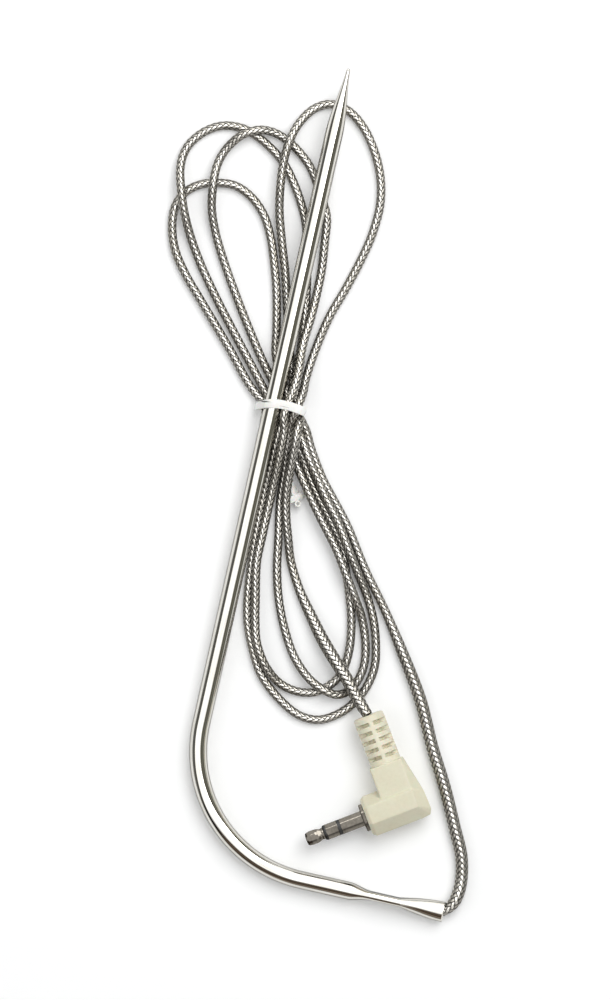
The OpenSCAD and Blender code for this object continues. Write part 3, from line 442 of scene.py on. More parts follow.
# %% The body
ARM_L = 9.8
bm = bmesh.new()
arm = [(3.8, 3.95), (4.0, 3.75), (4.0, -3.75), (3.8, -3.95)]
hull_block(bm, [(x, y, z) for x, z in arm for y in (-ARM_L, 1.0)]
           + [(-3.3, y, z) for y in (-ARM_L, 1.0) for z in (-3.95, 3.95)]
           + [(x, y, z) for x, y in ((-4.0, -ARM_L), (-5.7, -1.0)) for z in (-2.2, 2.2)])
barrel = [(-2.3, 4.35), (1.8, 4.35), (4.7, 1.9), (4.7, -1.9), (1.8, -4.35), (-2.3, -4.35),
          (-4.6, -1.4), (-4.6, 1.4)]
stations = [(8.5, 0.86), (7.7, 1.0), (-3.3, 1.0)]
hull_block(bm, [(x, y * k, z * k) for x, k in stations for y, z in barrel]
           + [(x, y, z) for x, y, h in ((-5.7, -1.0, 2.2), (-5.85, 3.3, 2.0), (-5.2, 4.5, 1.7))
              for z in (-h, h)])
body = bpy.data.objects.new("moulded_plug_body", bpy.data.meshes.new("moulded_plug_body"))
bm.to_mesh(body.data)
bm.free()
bpy.context.scene.collection.objects.link(body)
fuse(body, 0.14, 5)
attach(body, "root")
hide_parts("plug_body")
print("body faces:", len(body.data.polygons))

# %% [markdown]
# The strain relief behind the body is a short boot whose walls are cut by slots, so that it
# bends with the lead. Four spines join the ribs. Each ring of its skin asks two questions of
# every point: is it in a slot, and is it on a spine? Easing both keeps the edges soft. The
# last rings turn in at the end and make the hole that the lead comes through.

# %% The boot
BOOT_R, BOOT_L, CORE_R, SPINE_W, END_ROUND = 3.5, 11.4, 1.9, 1.3, 0.5
SLOTS, FIRST_SLOT, SLOT_PITCH, SLOT_W = 5, 1.25, 1.95, 0.8
turns = 2 * np.pi * np.arange(144) / 144
slot_mids = FIRST_SLOT + SLOT_W / 2 + SLOT_PITCH * np.arange(SLOTS)
sideways = np.minimum(np.abs(np.sin(turns)), np.abs(np.cos(turns))) * BOOT_R
bridge = ease((SPINE_W / 2 - sideways) / 0.2 + 0.5)


def boot_ring(r, h):
    """A ring of the boot, r from its axis and h behind the plug's body."""
    return plug_place(np.stack([r * np.sin(turns), np.full_like(turns, -ARM_L - h),
                                r * np.cos(turns)], -1))


rings, v = [], []
for h in np.linspace(0, BOOT_L, 230):
    into = ease((SLOT_W / 2 - np.abs(h - slot_mids).min()) / 0.14 + 0.5)
    full = BOOT_R - 0.35 * ease((h - BOOT_L + END_ROUND) / END_ROUND) ** 2
    rings.append(boot_ring(full - (full - CORE_R) * into * (1 - bridge), h))
    v.append(h)
for hole_r, h, at in ((1.15, BOOT_L, 1.8), (1.1, BOOT_L - 1, 2.8)):
    rings.append(boot_ring(hole_r, h))
    v.append(BOOT_L + at)
boot = ring_skin("strain_relief_boot", rings, np.array(v), cap_start=False)
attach(boot, "root")
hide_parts("strain_relief")
print("boot faces:", len(boot.data.polygons))

# %% [markdown]
# The contacts and their black insulators are turned on a lathe: a profile of places along
# the plug's axis and their radii, swept round. Every corner of a profile gets two rings in
# the same place, which keeps its edge crisp on a smooth skin.

# %% The contacts
def turned_piece(name, profile):
    """The skin of a profile swept round the plug's axis, in place of the CAD node."""
    k = -2 * np.pi * np.arange(64) / 64
    corners = [p for p in profile for _ in (0, 1)]
    skin_rings = [plug_place(np.stack([np.full_like(k, x), r * np.cos(k), r * np.sin(k)], -1))
                  for x, r in corners]
    piece = ring_skin(name + "_turned", skin_rings,
                      along(np.array([(x, r, 0) for x, r in corners])))
    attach(piece, "root")
    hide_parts(name)
    return piece


JACK_R = 1.75
contacts = [
    turned_piece("sleeve_contact", [(8.52, JACK_R), (8.52, 3.05), (8.62, 3.15), (9.2, 3.15),
                                    (9.32, 3.0), (9.36, 2.2), (9.44, JACK_R), (14.5, JACK_R),
                                    (14.56, 1.69)]),
    turned_piece("ring_contact", [(15.26, 1.69), (15.32, JACK_R), (17.95, JACK_R),
                                  (18.03, 1.68)]),
    turned_piece("tip_contact", [(18.7, 1.3), (18.95, 1.32), (19.2, 1.22), (19.5, 1.3),
                                 (20.0, 1.5), (20.6, 1.6), (21.7, 1.6), (22.4, 1.5),
                                 (22.75, 1.25), (22.88, 0.7)])]
insulators = [
    turned_piece("sleeve_insulator", [(14.56, 1.7), (14.6, 1.73), (15.22, 1.73),
                                      (15.26, 1.7)]),
    turned_piece("ring_insulator", [(18.03, 1.7), (18.08, 1.73), (18.3, 1.73), (18.66, 1.5),
                                    (18.7, 1.3)])]
print("turned pieces:", len(contacts) + len(insulators))

# %% [markdown]
# ## The twist tie
# The tie is a flat white ribbon with a thin steel wire along its middle. It goes once round
# the probe and the strands and twists off underneath; its two cut ends show between the lower
# loops. The loop is found as a string pulled tight round circles: the probe and the strands
# seen end on. A convex hull of points on those circles is that string.

# %% The tie's loop
TIE_W, TIE_T = 2.0, 0.5


def tight_string(circles, count):
    """A closed line pulled tight round circles (x, z, radius), evenly spaced."""
    a = np.linspace(0, 2 * np.pi, 90, endpoint=False)
    points = sorted({(round(x + r * math.cos(k), 5), round(z + r * math.sin(k), 5))
                     for x, z, r in circles for k in a})
    half = []
    for order in (points, points[::-1]):
        line = []
        for p in order:
            while len(line) > 1 and np.cross(np.subtract(line[-1], line[-2]),
                                             np.subtract(p, line[-2])) <= 0:
                line.pop()
            line.append(p)
        half += line[:-1]
    closed = np.array(half + half[:1])
    s = np.r_[0, np.cumsum(np.linalg.norm(np.diff(closed, axis=0), axis=1))]
    at = np.linspace(0, s[-1], count + 1)[:-1]
    return np.column_stack([np.interp(at, s, closed[:, 0]), np.interp(at, s, closed[:, 1])])


def ribbon_section(width):
    """A flat oval with a low ridge over the wire, as pairs across and out."""
    k = 2 * np.pi * np.arange(28) / 28
    across = width / 2 * np.sign(np.cos(k)) * np.abs(np.cos(k)) ** 0.45
    out = TIE_T / 2 * np.sign(np.sin(k)) * np.abs(np.sin(k)) ** 0.6
    return across, out * (0.8 + 0.45 * np.exp(-(across / 0.32) ** 2))


def ribbon(name, centres, outward, width=TIE_W, closed=False):
    """A ribbon along centres whose flat side faces outward."""
    centres = np.asarray(centres, float)
    if closed:
        ahead = unit(np.roll(centres, -1, 0) - np.roll(centres, 1, 0))
    else:
        ahead = unit(np.gradient(centres, axis=0))
    across = unit(np.cross(ahead, outward))
    outward = np.cross(across, ahead)
    w, h = ribbon_section(width)
    rings = centres[:, None] + w[None, :, None] * across[:, None] \
        + h[None, :, None] * outward[:, None]
    s = along(centres)
    if closed:
        rings = np.vstack([rings, rings[:1]])
        s = np.r_[s, s[-1] + np.linalg.norm(centres[0] - centres[-1])]
    return ring_skin(name, rings, s, cap_start=not closed, cap_end=not closed)


SLACK = 0.1
grown = SLACK + TIE_T / 2
bundle = [(0, 4.72, 2.0), (-2.4, 2.7, 0.9), (-1.95, 1.87, 1.0), (5.1, 1.87, 1.0),
          (5.7, 5.4, 1.3)]
string = tight_string([(x, z, r + grown) for x, z, r in bundle], 160)
over_x = [-3.6, -2.6, -1.0, 1.5, 4.0, 6.0, 7.4]
over_y = [101.7, 102.2, 102.8, 103.2, 103.2, 102.95, 102.75]
loop_centres = np.column_stack([string[:, 0], np.interp(string[:, 0], over_x, over_y),
                                string[:, 1]])
loop_centres[:, 1] = (np.roll(loop_centres[:, 1], 2) + loop_centres[:, 1]
                      + np.roll(loop_centres[:, 1], -2)) / 3
middle = loop_centres.mean(0)
loop_out = unit((loop_centres - middle) * [1, 0, 1])
tie_loop = ribbon("twist_tie_loop", loop_centres, loop_out, closed=True)
print("tie loop length:", round(along(loop_centres)[-1], 1), "mm")

# %% The tie's tail and its two cut ends
def curve_through(points, step=0.3):
    """Evenly spaced points on the smooth curve through a few given ones."""
    return even_spacing(smooth_curve(np.column_stack([points, np.ones(len(points))]), step),
                        step)[:, :3]


tail_centres = curve_through([[-1, 102.8, 0.34], [-1.2, 98.6, 0.34], [0.3, 94.8, 0.34],
                              [3.2, 91.2, 0.36], [5.6, 88.6, 0.5], [7.6, 86.4, 0.9],
                              [9.1, 84.6, 1.1], [10.1, 83.2, 1.2]])
lean = np.linspace(0, 1, len(tail_centres))[:, None] ** 2
tail_out = unit([0, 0, 1.0] + lean * np.array([0.5, 0.7, 0]))
tie_tail = ribbon("twist_tie_tail", tail_centres, tail_out, width=1.9)
end_centres = curve_through([[7.9, 82.25, 2.5], [9.5, 83.45, 2.1], [11.3, 84.75, 1.0],
                             [12.6, 85.8, 0.5], [13.6, 86.7, 0.45]])
end_out = unit(np.tile([0.12, -0.25, 1.0], (len(end_centres), 1)))
tie_end = ribbon("twist_tie_end", end_centres, end_out, width=1.5)
stub = [(0.2, 0.55), (0.6, 0.62), (0.72, 0.9), (0.72, 2.55), (0.66, 2.7), (0.5, 2.72),
        (0.42, 2.6), (0.36, 2.3)]
stub_wire_end = [(0.24, 2.2), (0.24, 2.5), (0.16, 2.55)]
STUB_X, STUB_Y = 10.3, 82.25


def upright_piece(name, profile):
    """The skin of a profile of radii and heights swept round the stub's axis."""
    k = -2 * np.pi * np.arange(40) / 40
    upright = [np.stack([STUB_X + r * np.cos(k), STUB_Y + r * np.sin(k), np.full_like(k, z)], -1)
               for r, z in profile]
    return ring_skin(name, upright, along(np.array([(r, z, 0) for r, z in profile])),
                     cap_start=False)


tie_stub = upright_piece("twist_tie_stub", stub)
stub_wire = upright_piece("tie_wire_end", stub_wire_end)
for piece in (tie_loop, tie_tail, tie_end, tie_stub):
    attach(piece, "root")
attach(stub_wire, "root")
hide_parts("tie_jacket")
print("tie tail length:", round(along(tail_centres)[-1], 1), "mm")

# %% [markdown]
# ## Finishes
# A finish that several materials share is a node group, made once. The first group here
# varies a surface: two noises, a fine one and a broad one, mix two colours, move the
# roughness and give a height for a bump. Each material keeps its own shader and sets what is
# the same all over, such as the metallic value, on the shader itself.

# %% A helper that makes groups and links nodes
def new_group(name, inputs, outputs):
    """A shader node group with its named sockets, and its input and output nodes."""
    tree = bpy.data.node_groups.new(name, "ShaderNodeTree")
    for label, kind, value in inputs:
        made = tree.interface.new_socket(label, in_out="INPUT", socket_type=kind)
        if value is not None:
            made.default_value = value
    for label, kind in outputs:
        tree.interface.new_socket(label, in_out="OUTPUT", socket_type=kind)
    return tree, tree.nodes.new("NodeGroupInput"), tree.nodes.new("NodeGroupOutput")


def feed(tree, socket, value):
    """Joins a socket to another node's output, or gives it a plain value."""
    if isinstance(value, bpy.types.NodeSocket):
        tree.links.new(value, socket)
    elif value is not None:
        socket.default_value = value


def math_node(tree, operation, a, b=None, clamp=False):
    node = tree.nodes.new("ShaderNodeMath")
    node.operation, node.use_clamp = operation, clamp
    feed(tree, node.inputs[0], a)
    feed(tree, node.inputs[1], b)
    return node.outputs[0]


def noise_node(tree, vector, scale, detail=3.0, roughness=0.55):
    node = tree.nodes.new("ShaderNodeTexNoise")
    feed(tree, node.inputs["Vector"], vector)
    feed(tree, node.inputs["Scale"], scale)
    node.inputs["Detail"].default_value = detail
    node.inputs["Roughness"].default_value = roughness
    return node.outputs["Fac"]


def mix_colour(tree, factor, a, b, blend="MIX"):
    node = tree.nodes.new("ShaderNodeMix")
    node.data_type, node.blend_type = "RGBA", blend
    feed(tree, node.inputs["Factor"], factor)
    feed(tree, node.inputs[6], a)
    feed(tree, node.inputs[7], b)
    return node.outputs[2]


def spread(tree, value, low, high, to_low, to_high):
    """Carries the range from low to high over to another one."""
    node = tree.nodes.new("ShaderNodeMapRange")
    for socket, v in zip(node.inputs, (value, low, high, to_low, to_high)):
        feed(tree, socket, v)
    return node.outputs[0]


# %% The group that varies a surface
surface_group, g_in, g_out = new_group(
    "varied_surface",
    [("Vector", "NodeSocketVector", None), ("Fine Scale", "NodeSocketFloat", 900.0),
     ("Broad Scale", "NodeSocketFloat", 60.0), ("Colour", "NodeSocketColor", (.8, .8, .8, 1)),
     ("Worn Colour", "NodeSocketColor", (.6, .6, .6, 1)),
     ("Smooth Roughness", "NodeSocketFloat", 0.3), ("Rough Roughness", "NodeSocketFloat", 0.5)],
    [("Colour", "NodeSocketColor"), ("Roughness", "NodeSocketFloat"),
     ("Height", "NodeSocketFloat")])
fine = noise_node(surface_group, g_in.outputs["Vector"], g_in.outputs["Fine Scale"], 4, 0.6)
broad = noise_node(surface_group, g_in.outputs["Vector"], g_in.outputs["Broad Scale"], 3, 0.5)
both = math_node(surface_group, "ADD", math_node(surface_group, "MULTIPLY", fine, 0.45),
                 math_node(surface_group, "MULTIPLY", broad, 0.55))
worn = spread(surface_group, both, 0.36, 0.66, 0.0, 1.0)
surface_group.links.new(mix_colour(surface_group, worn, g_in.outputs["Colour"],
                                   g_in.outputs["Worn Colour"]), g_out.inputs["Colour"])
surface_group.links.new(spread(surface_group, worn, 0.0, 1.0, g_in.outputs["Smooth Roughness"],
                               g_in.outputs["Rough Roughness"]), g_out.inputs["Roughness"])
surface_group.links.new(fine, g_out.inputs["Height"])
print("groups:", [g.name for g in bpy.data.node_groups])


# %% A material from the shared group
# Painted shade at the edges: metals get a near-black colour where they are seen edge on.
PAINTED_DARK_EDGE = (0.02, 0.02, 0.02, 1)


def linear(hex_colour):
    """A written colour such as E4DFC8 as the shader's own numbers."""
    parts = [int(hex_colour[i:i + 2], 16) / 255 for i in (0, 2, 4)]
    return tuple([p / 12.92 if p < 0.04045 else ((p + 0.055) / 1.055) ** 2.4
                  for p in parts] + [1.0])


def new_material(name):
    """A material, its node tree and its Principled shader."""
    material = bpy.data.materials.new(name)
    material.use_nodes = True
    return material, material.node_tree, material.node_tree.nodes["Principled BSDF"]


def bump_from(tree, shader, height, depth, strength=1.0):
    """Raises a shader's surface by a height from 0 to 1, depth in millimetres."""
    node = tree.nodes.new("ShaderNodeBump")
    node.inputs["Strength"].default_value = strength
    node.inputs["Distance"].default_value = depth * MM
    tree.links.new(height, node.inputs["Height"])
    tree.links.new(node.outputs["Normal"], shader.inputs["Normal"])


def finish(name, colour, worn_colour, rough, metallic=0.0, fine=900.0, broad=60.0,
           bump=0.02, **shader_values):
    """A material whose colour, roughness and bump come from the varied surface."""
    material, tree, shader = new_material(name)
    where = tree.nodes.new("ShaderNodeTexCoord")
    group = tree.nodes.new("ShaderNodeGroup")
    group.node_tree = surface_group
    for label, value in (("Fine Scale", fine), ("Broad Scale", broad),
                         ("Colour", linear(colour)), ("Worn Colour", linear(worn_colour)),
                         ("Smooth Roughness", rough[0]), ("Rough Roughness", rough[1])):
        group.inputs[label].default_value = value
    tree.links.new(where.outputs["Object"], group.inputs["Vector"])
    tree.links.new(group.outputs["Colour"], shader.inputs["Base Color"])
    tree.links.new(group.outputs["Roughness"], shader.inputs["Roughness"])
    bump_from(tree, shader, group.outputs["Height"], bump)
    shader.inputs["Metallic"].default_value = metallic
    for label, value in shader_values.items():
        shader.inputs[label.replace("_", " ")].default_value = value
    return material


def dress(material, *pieces):
    """Gives a material to pieces, or to CAD nodes by their names."""
    for piece in pieces:
        target = nodes[piece] if isinstance(piece, str) else piece
        target.data.materials.clear()
        target.data.materials.append(material)


# %% [markdown]
# ## Braid
# In the lead's map a bundle's place is a sum or a difference of U and V. The material counts
# the bundles as the mesh does, so that what lies over in one lies over in the other. Inside
# each bundle thin wires run side by side: they are a bump, and painted shade makes the
# grooves between them a little darker than their crowns. The gaps between bundles get
# painted shade, near black, and the bundles of one lay get painted shade that makes them
# duller than those of the other, so that slanted dashes stand out.

# %% The group that draws a braid
braid_group, b_in, b_out = new_group(
    "braid_of_wires",
    [("Round", "NodeSocketFloat", 0.0), ("Along", "NodeSocketFloat", 0.0),
     ("Wires", "NodeSocketFloat", 5.0)],
    [("Height", "NodeSocketFloat"), ("Gap", "NodeSocketFloat"), ("Wire", "NodeSocketFloat"),
     ("Right Lay", "NodeSocketFloat")])


def m(operation, a, b=None, clamp=False):
    return math_node(braid_group, operation, a, b, clamp)


swept = m("MULTIPLY", b_in.outputs["Round"], float(CARRIERS))
one, two = m("ADD", swept, b_in.outputs["Along"]), m("SUBTRACT", swept, b_in.outputs["Along"])
whole1, whole2 = m("FLOOR", one), m("FLOOR", two)
second = m("GREATER_THAN", m("FLOORED_MODULO", m("ADD", whole1, whole2), 4.0), 1.5)
first = m("SUBTRACT", 1.0, second)
over = m("ADD", m("MULTIPLY", m("FRACT", one), first), m("MULTIPLY", m("FRACT", two), second))
run1 = m("FLOORED_MODULO", m("ADD", two, whole1), 4.0)
run2 = m("FLOORED_MODULO", m("SUBTRACT", m("ADD", one, whole2), 2.0), 4.0)
run = m("MULTIPLY", m("ADD", m("MULTIPLY", run1, first), m("MULTIPLY", run2, second)), 0.5,
        clamp=True)
arch = m("SINE", m("MULTIPLY", over, math.pi))
bow = m("SINE", m("MULTIPLY", run, math.pi))
rise = m("MULTIPLY", m("SQRT", arch), m("ADD", 0.5, m("MULTIPLY", bow, 0.5)))
wires = m("ABSOLUTE", m("SINE", m("MULTIPLY", m("MULTIPLY", over, math.pi),
                                  b_in.outputs["Wires"])))
edges = m("MINIMUM", m("MULTIPLY", arch, 1.5), m("ADD", m("MULTIPLY", bow, 2.2), 0.15))
braid_group.links.new(m("ADD", rise, m("MULTIPLY", wires, 0.12)), b_out.inputs["Height"])
braid_group.links.new(spread(braid_group, edges, 0.35, 0.9, 1.0, 0.0), b_out.inputs["Gap"])
braid_group.links.new(wires, b_out.inputs["Wire"])
braid_group.links.new(first, b_out.inputs["Right Lay"])

# %% The braid's material
def wrap_map(tree):
    """Where a point lies in a piece's own map: round it and along it."""
    node = tree.nodes.new("ShaderNodeUVMap")
    node.uv_map = "wrap"
    return node.outputs["UV"]


braid, tree, shader = new_material("stainless_braid")
split = tree.nodes.new("ShaderNodeSeparateXYZ")
tree.links.new(wrap_map(tree), split.inputs[0])
weave = tree.nodes.new("ShaderNodeGroup")
weave.node_tree = braid_group
tree.links.new(split.outputs["X"], weave.inputs["Round"])
tree.links.new(split.outputs["Y"], weave.inputs["Along"])
weave.inputs["Wires"].default_value = 5
where = tree.nodes.new("ShaderNodeTexCoord")
patches = noise_node(tree, where.outputs["Object"], 140, 3, 0.6)
# Painted shade: the grooves between wires are darker than their crowns.
wire_grey_with_painted_shade = mix_colour(tree, weave.outputs["Wire"], linear("BDB9B0"), linear("F6F3ED"))
# Painted shade: the bundles of one lay are darker than those of the other.
painted_lay_shade = math_node(tree, "MULTIPLY", weave.outputs["Right Lay"], 0.62)
wire_grey_with_painted_shade = mix_colour(tree, painted_lay_shade, wire_grey_with_painted_shade, linear("7A766E"))
# Random aged patches, laid over the wires and their painted shade.
aged_and_painted_shade = mix_colour(tree, spread(tree, patches, 0.45, 0.75, 0.0, 0.5), wire_grey_with_painted_shade,
                  linear("A39C8C"))
# Painted shade: the gaps between bundles go near black.
tree.links.new(mix_colour(tree, weave.outputs["Gap"], aged_and_painted_shade, linear("12110F")),
               shader.inputs["Base Color"])
shader.inputs["Metallic"].default_value = 0.88
shader.inputs["Specular Tint"].default_value = PAINTED_DARK_EDGE
tree.links.new(spread(tree, weave.outputs["Gap"], 0.0, 1.0, 0.22, 0.6),
               shader.inputs["Roughness"])
bump_from(tree, shader, weave.outputs["Height"], 0.08)
dress(braid, lead)
print(braid.name, "has", len(tree.nodes), "nodes")

# %% [markdown]
# ## Drawn steel
# The tube is drawn through a die and then polished. What is left are faint lines along it,
# which show as breaks in the long reflections. The tube's map makes them simple: a noise
# squeezed round the tube and stretched along it. A metal's Specular Tint is its colour where
# it is seen edge on. A dark one, far darker than steel's own, is painted shade at the edges:
# it keeps the tube's edges from glowing on a white table.

# %% The probe's material
steel, tree, shader = new_material("drawn_polished_steel")
stretch = tree.nodes.new("ShaderNodeMapping")
stretch.inputs["Scale"].default_value = (60, 0.12, 1)
tree.links.new(wrap_map(tree), stretch.inputs["Vector"])
lines = noise_node(tree, stretch.outputs["Vector"], 1.0, 3, 0.6)
where = tree.nodes.new("ShaderNodeTexCoord")
smudge = noise_node(tree, where.outputs["Object"], 70, 4, 0.6)
tree.links.new(mix_colour(tree, spread(tree, lines, 0.35, 0.7, 0.0, 1.0), linear("EDEBE6"),
                          linear("D2CEC4")), shader.inputs["Base Color"])
shader.inputs["Metallic"].default_value = 1.0
shader.inputs["Specular Tint"].default_value = PAINTED_DARK_EDGE
both = math_node(tree, "ADD", math_node(tree, "MULTIPLY", lines, 0.5),
                 math_node(tree, "MULTIPLY", smudge, 0.5))
tree.links.new(spread(tree, both, 0.35, 0.7, 0.05, 0.14), shader.inputs["Roughness"])
bump_from(tree, shader, lines, 0.002, strength=0.5)
dress(steel, tube)
print(steel.name, "has", len(tree.nodes), "nodes")

# %% [markdown]
# ## Mouldings, contacts and the tie
# The plug's mouldings and the tie's ribbon are pale plastics. A little light passes into
# them and softens their shading, which is a small Subsurface Weight with a reach of about a
# millimetre. The contacts are plated, smooth and dark, and the rings between them black.

# %% Plastics, contacts and the tie
dress(finish("cream_moulding", "DFDBC3", "D7D2B9", (0.34, 0.5), fine=1400, broad=130,
             bump=0.02, Subsurface_Weight=0.15, Subsurface_Scale=0.001), body)
dress(finish("white_boot", "E6E2CC", "DDD8C0", (0.36, 0.5), fine=1500, broad=160,
             bump=0.02, Subsurface_Weight=0.15, Subsurface_Scale=0.001), boot)
dress(finish("white_ribbon", "F8F8F5", "EEEDE8", (0.4, 0.6), fine=1800, broad=200,
             bump=0.02, Subsurface_Weight=0.1, Subsurface_Scale=0.0006),
      tie_loop, tie_tail, tie_end, tie_stub)
dress(finish("contact_plating", "7C776F", "5A564F", (0.04, 0.1), 1.0, fine=1600, broad=300,
             bump=0.0015, Specular_Tint=PAINTED_DARK_EDGE), *contacts)
dress(finish("black_insulator", "141414", "232220", (0.25, 0.4), fine=2500, broad=300,
             bump=0.006), *insulators)
print("materials so far:", len(bpy.data.materials))

# %% [markdown]
# The pieces that the tube, the body and the lead hide keep their CAD shapes. They still get
# a finish each, for a view with the outer pieces taken off.

# %% Hidden pieces
dress(finish("lug_brass", "C9A75A", "A88645", (0.25, 0.4), 1.0, fine=1500),
      "sleeve_lug", "ring_lug", "tip_lug")
dress(finish("solder", "C3C2BE", "98978F", (0.25, 0.5), 1.0, fine=1800), "solder_joints")
dress(finish("copper_wire", "C88A62", "9D6240", (0.3, 0.5), 1.0, fine=2500),
      "signal_conductor", "return_conductor", "plug_signal_wire", "plug_return_wire")
dress(finish("red_insulation", "B2302A", "8E241F", (0.35, 0.5), fine=1500),
      "signal_insulation", "plug_wire_insulation")
dress(finish("white_insulation", "E9E7E1", "CFCCC2", (0.35, 0.5), fine=1500),
      "return_insulation", "splice_sleeves")
dress(finish("inner_mould", "DAD8CF", "C3C0B4", (0.5, 0.7), fine=900), "plug_core")
dress(finish("bead_glass", "A9622F", "7E431C", (0.1, 0.2), fine=1200), "thermistor_bead")
dress(finish("lead_wire", "BEB9AE", "95908A", (0.2, 0.4), 1.0, fine=2500), "thermistor_leads",
      "splice_ferrules")
dress(finish("polyimide", "B8801E", "8F5F12", (0.2, 0.35), fine=900), "bead_sleeve")
dress(finish("heat_compound", "D9D8D3", "BBBAB4", (0.6, 0.8), fine=700), "tip_compound")
dress(finish("inner_braid", "B5B2AA", "6D6A63", (0.3, 0.5), 1.0, fine=3000, bump=0.05),
      "braid_tail", "braid_pigtail", "plug_braid_end")
dress(finish("tie_steel", "8E8C88", "6B6966", (0.3, 0.5), 1.0, fine=2000), "tie_wire",
      stub_wire)
print("materials with the hidden ones:", len(bpy.data.materials))

# %% [markdown]

# %% [markdown]
# ## The table
# The table is plain white card. Where the camera, a mirrored ray or one through something
# clear meets it, it is made a little brighter, so that it looks white there. It sends no
# extra light onto the pieces that way, and it keeps their shadows.

# %% Table
bpy.ops.mesh.primitive_plane_add(size=3, location=(VIEW_CENTRE[0], VIEW_CENTRE[1], 0))
table = bpy.context.object
table.name = "white_table"
card, tree, shader = new_material("white_card")
where = tree.nodes.new("ShaderNodeTexCoord")
mottle = noise_node(tree, where.outputs["Object"], 6, 3, 0.5)
tree.links.new(mix_colour(tree, mottle, linear("F6F6F6"), linear("F3F4F4")),
               shader.inputs["Base Color"])
shader.inputs["Roughness"].default_value = 0.9
shader.inputs["Specular IOR Level"].default_value = 0.1
seen = tree.nodes.new("ShaderNodeLightPath").outputs
direct = math_node(tree, "MAXIMUM", seen["Is Camera Ray"],
                   math_node(tree, "MAXIMUM", seen["Is Glossy Ray"], seen["Is Transmission Ray"]))
shader.inputs["Emission Color"].default_value = (1, 1, 1, 1)
tree.links.new(math_node(tree, "MULTIPLY", direct, 0.13), shader.inputs["Emission Strength"])
dress(card, table)
print("table:", table.name)

# %% [markdown]
# ## Lamps
# A big soft lamp stands at the upper right and a weaker one at the left, both aimed at the
# middle of the view. They are placed along the camera's right and up, so the light stays on
# the same side of the thing as it is seen. Only the big one shows in the steel.

# %% Two lamps
def lamp(name, x, y, z, size, watts, mirrored):
    """A soft lamp, placed in metres to the right, up and above the corner of the legs."""
    data = bpy.data.lights.new(name, "AREA")
    data.shape, data.size, data.size_y = "RECTANGLE", size[0], size[1]
    data.energy = watts
    made = bpy.data.objects.new(name, data)
    bpy.context.scene.collection.objects.link(made)
    made.location = place([0, 0, 0]) + (right * x + up * y + Vector((0, 0, z)))
    aim = Vector(VIEW_CENTRE) - made.location
    made.rotation_euler = aim.to_track_quat("-Z", "Y").to_euler()
    made.visible_glossy = mirrored
    return made


lamps = [lamp("key_soft", 0.3, 0.44, 0.76, (0.7, 0.7), 6.2, mirrored=True),
         lamp("left_fill", -0.6, -0.05, 0.65, (0.6, 0.8), 1.7, mirrored=False)]
print("lamps:", [(made.name, made.data.energy) for made in lamps])

# %% [markdown]
# ## The studio round the table
# Polished steel shows mostly what stands around it, so the world holds a simple studio for
# reflections: a bright ceiling that runs on to the far end, a dim brown wall on the right,
# dark ones on the left and at the near end, a pale skirting near the ground, and a light
# doorway in one corner. A wall is a ramp over an angle, which is how far a direction leans
# from straight up: to the right in one ramp, and to the top of the view in the other. The
# two ramps multiplied make a room.

# %% Angles in the studio
world = bpy.data.worlds.new("studio")
bpy.context.scene.world = world
world.use_nodes = True
tree = world.node_tree
tree.nodes.clear()
where = tree.nodes.new("ShaderNodeTexCoord")


def toward(direction):
    """How much a ray goes a given way, from -1 to 1."""
    node = tree.nodes.new("ShaderNodeVectorMath")
    node.operation = "DOT_PRODUCT"
    tree.links.new(where.outputs["Generated"], node.inputs[0])
    node.inputs[1].default_value = direction
    return node.outputs["Value"]


lean_right = math_node(tree, "ARCSINE", toward(right))
lean_up = math_node(tree, "ARCSINE", toward(up))


# %% Walls of the studio
def wall_ramp(angle, stops):
    """Grey or brown walls by angle from straight up, in degrees from -90 to 90."""
    ramp = tree.nodes.new("ShaderNodeValToRGB")
    tree.links.new(spread(tree, angle, -math.pi / 2, math.pi / 2, 0.0, 1.0),
                   ramp.inputs["Fac"])
    elements = ramp.color_ramp.elements
    for degrees, colour in stops[1:-1]:
        elements.new((degrees + 90) / 180).color = (*colour, 1)
    elements[0].color, elements[-1].color = (*stops[0][1], 1), (*stops[-1][1], 1)
    return ramp.outputs["Color"]


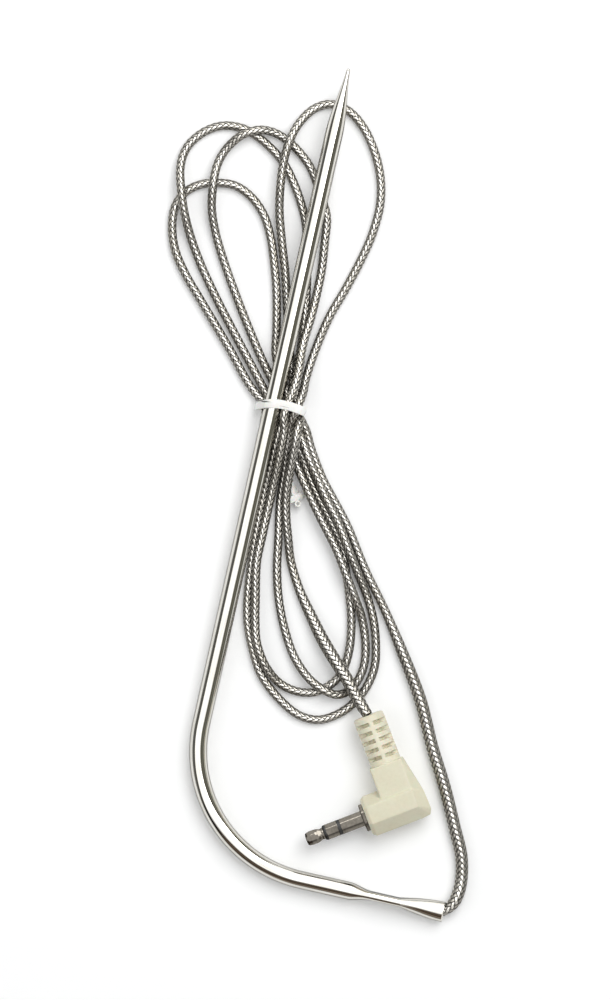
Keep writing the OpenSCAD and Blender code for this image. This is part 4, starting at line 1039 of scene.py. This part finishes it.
WHITE, DARK, BLACK = (1.0, 1.0, 1.0), (0.10, 0.10, 0.095), (0.02, 0.018, 0.015)
BROWN = (0.13, 0.125, 0.10)
side_wall = wall_ramp(
    lean_right, [(-90, (0.3, 0.3, 0.3)), (-82, DARK), (-70, (0.05, 0.05, 0.05)),
                 (-64, (0.13, 0.13, 0.12)), (-58, (0.05, 0.05, 0.045)),
                 (-44, (0.07, 0.07, 0.065)), (-39, WHITE), (23, WHITE), (31, BROWN),
                 (42, (0.06, 0.06, 0.05)), (54, BROWN), (63, (0.08, 0.08, 0.07)), (82, BROWN),
                 (87, WHITE), (90, WHITE)])
end_wall = wall_ramp(
    lean_up, [(-90, (0.5, 0.48, 0.45)), (-76, BLACK), (-62, (0.18, 0.14, 0.11)), (-50, BLACK),
              (-36, (0.10, 0.07, 0.05)), (-28, BLACK), (-19, WHITE), (70, WHITE),
              (90, (0.8, 0.8, 0.8))])
walls = mix_colour(tree, 1.0, side_wall, end_wall, "MULTIPLY")
skirting = spread(tree, toward((0, 0, 1)), math.sin(math.radians(4)),
                  math.sin(math.radians(14)), 1.0, 0.0)
room = mix_colour(tree, skirting, walls, (0.6, 0.6, 0.58, 1))
doorway = spread(tree, math_node(tree, "MINIMUM", toward((1, 0, 0)), toward((0, -1, 0))),
                 0.22, 0.42, 0.0, 1.0)
room = mix_colour(tree, doorway, room, (0.8, 0.8, 0.79, 1))
print("nodes in the studio:", len(tree.nodes))

# %% [markdown]
# A ray that comes from the camera, or through something clear, sees plain white beyond the
# table. A mirrored one sees the studio. What is left lights the pieces evenly and dimly.

# %% What each kind of ray sees
def background(colour, strength):
    node = tree.nodes.new("ShaderNodeBackground")
    feed(tree, node.inputs["Color"], colour)
    node.inputs["Strength"].default_value = strength
    return node.outputs[0]


def either(factor, first, second):
    """The first surface where the factor is 0, and the second where it is 1."""
    node = tree.nodes.new("ShaderNodeMixShader")
    tree.links.new(factor, node.inputs[0])
    tree.links.new(first, node.inputs[1])
    tree.links.new(second, node.inputs[2])
    return node.outputs[0]


ray = tree.nodes.new("ShaderNodeLightPath").outputs
lit = background((1, 1, 1, 1), 0.34)
shown = background((1, 1, 1, 1), 1.0)
studio = background(room, 1.45)
straight = math_node(tree, "MAXIMUM", ray["Is Camera Ray"], ray["Is Transmission Ray"])
out = tree.nodes.new("ShaderNodeOutputWorld")
tree.links.new(either(straight, either(ray["Is Glossy Ray"], lit, studio), shown),
               out.inputs["Surface"])
bpy.context.scene.view_settings.view_transform = "Standard"
print("view transform:", bpy.context.scene.view_settings.view_transform)
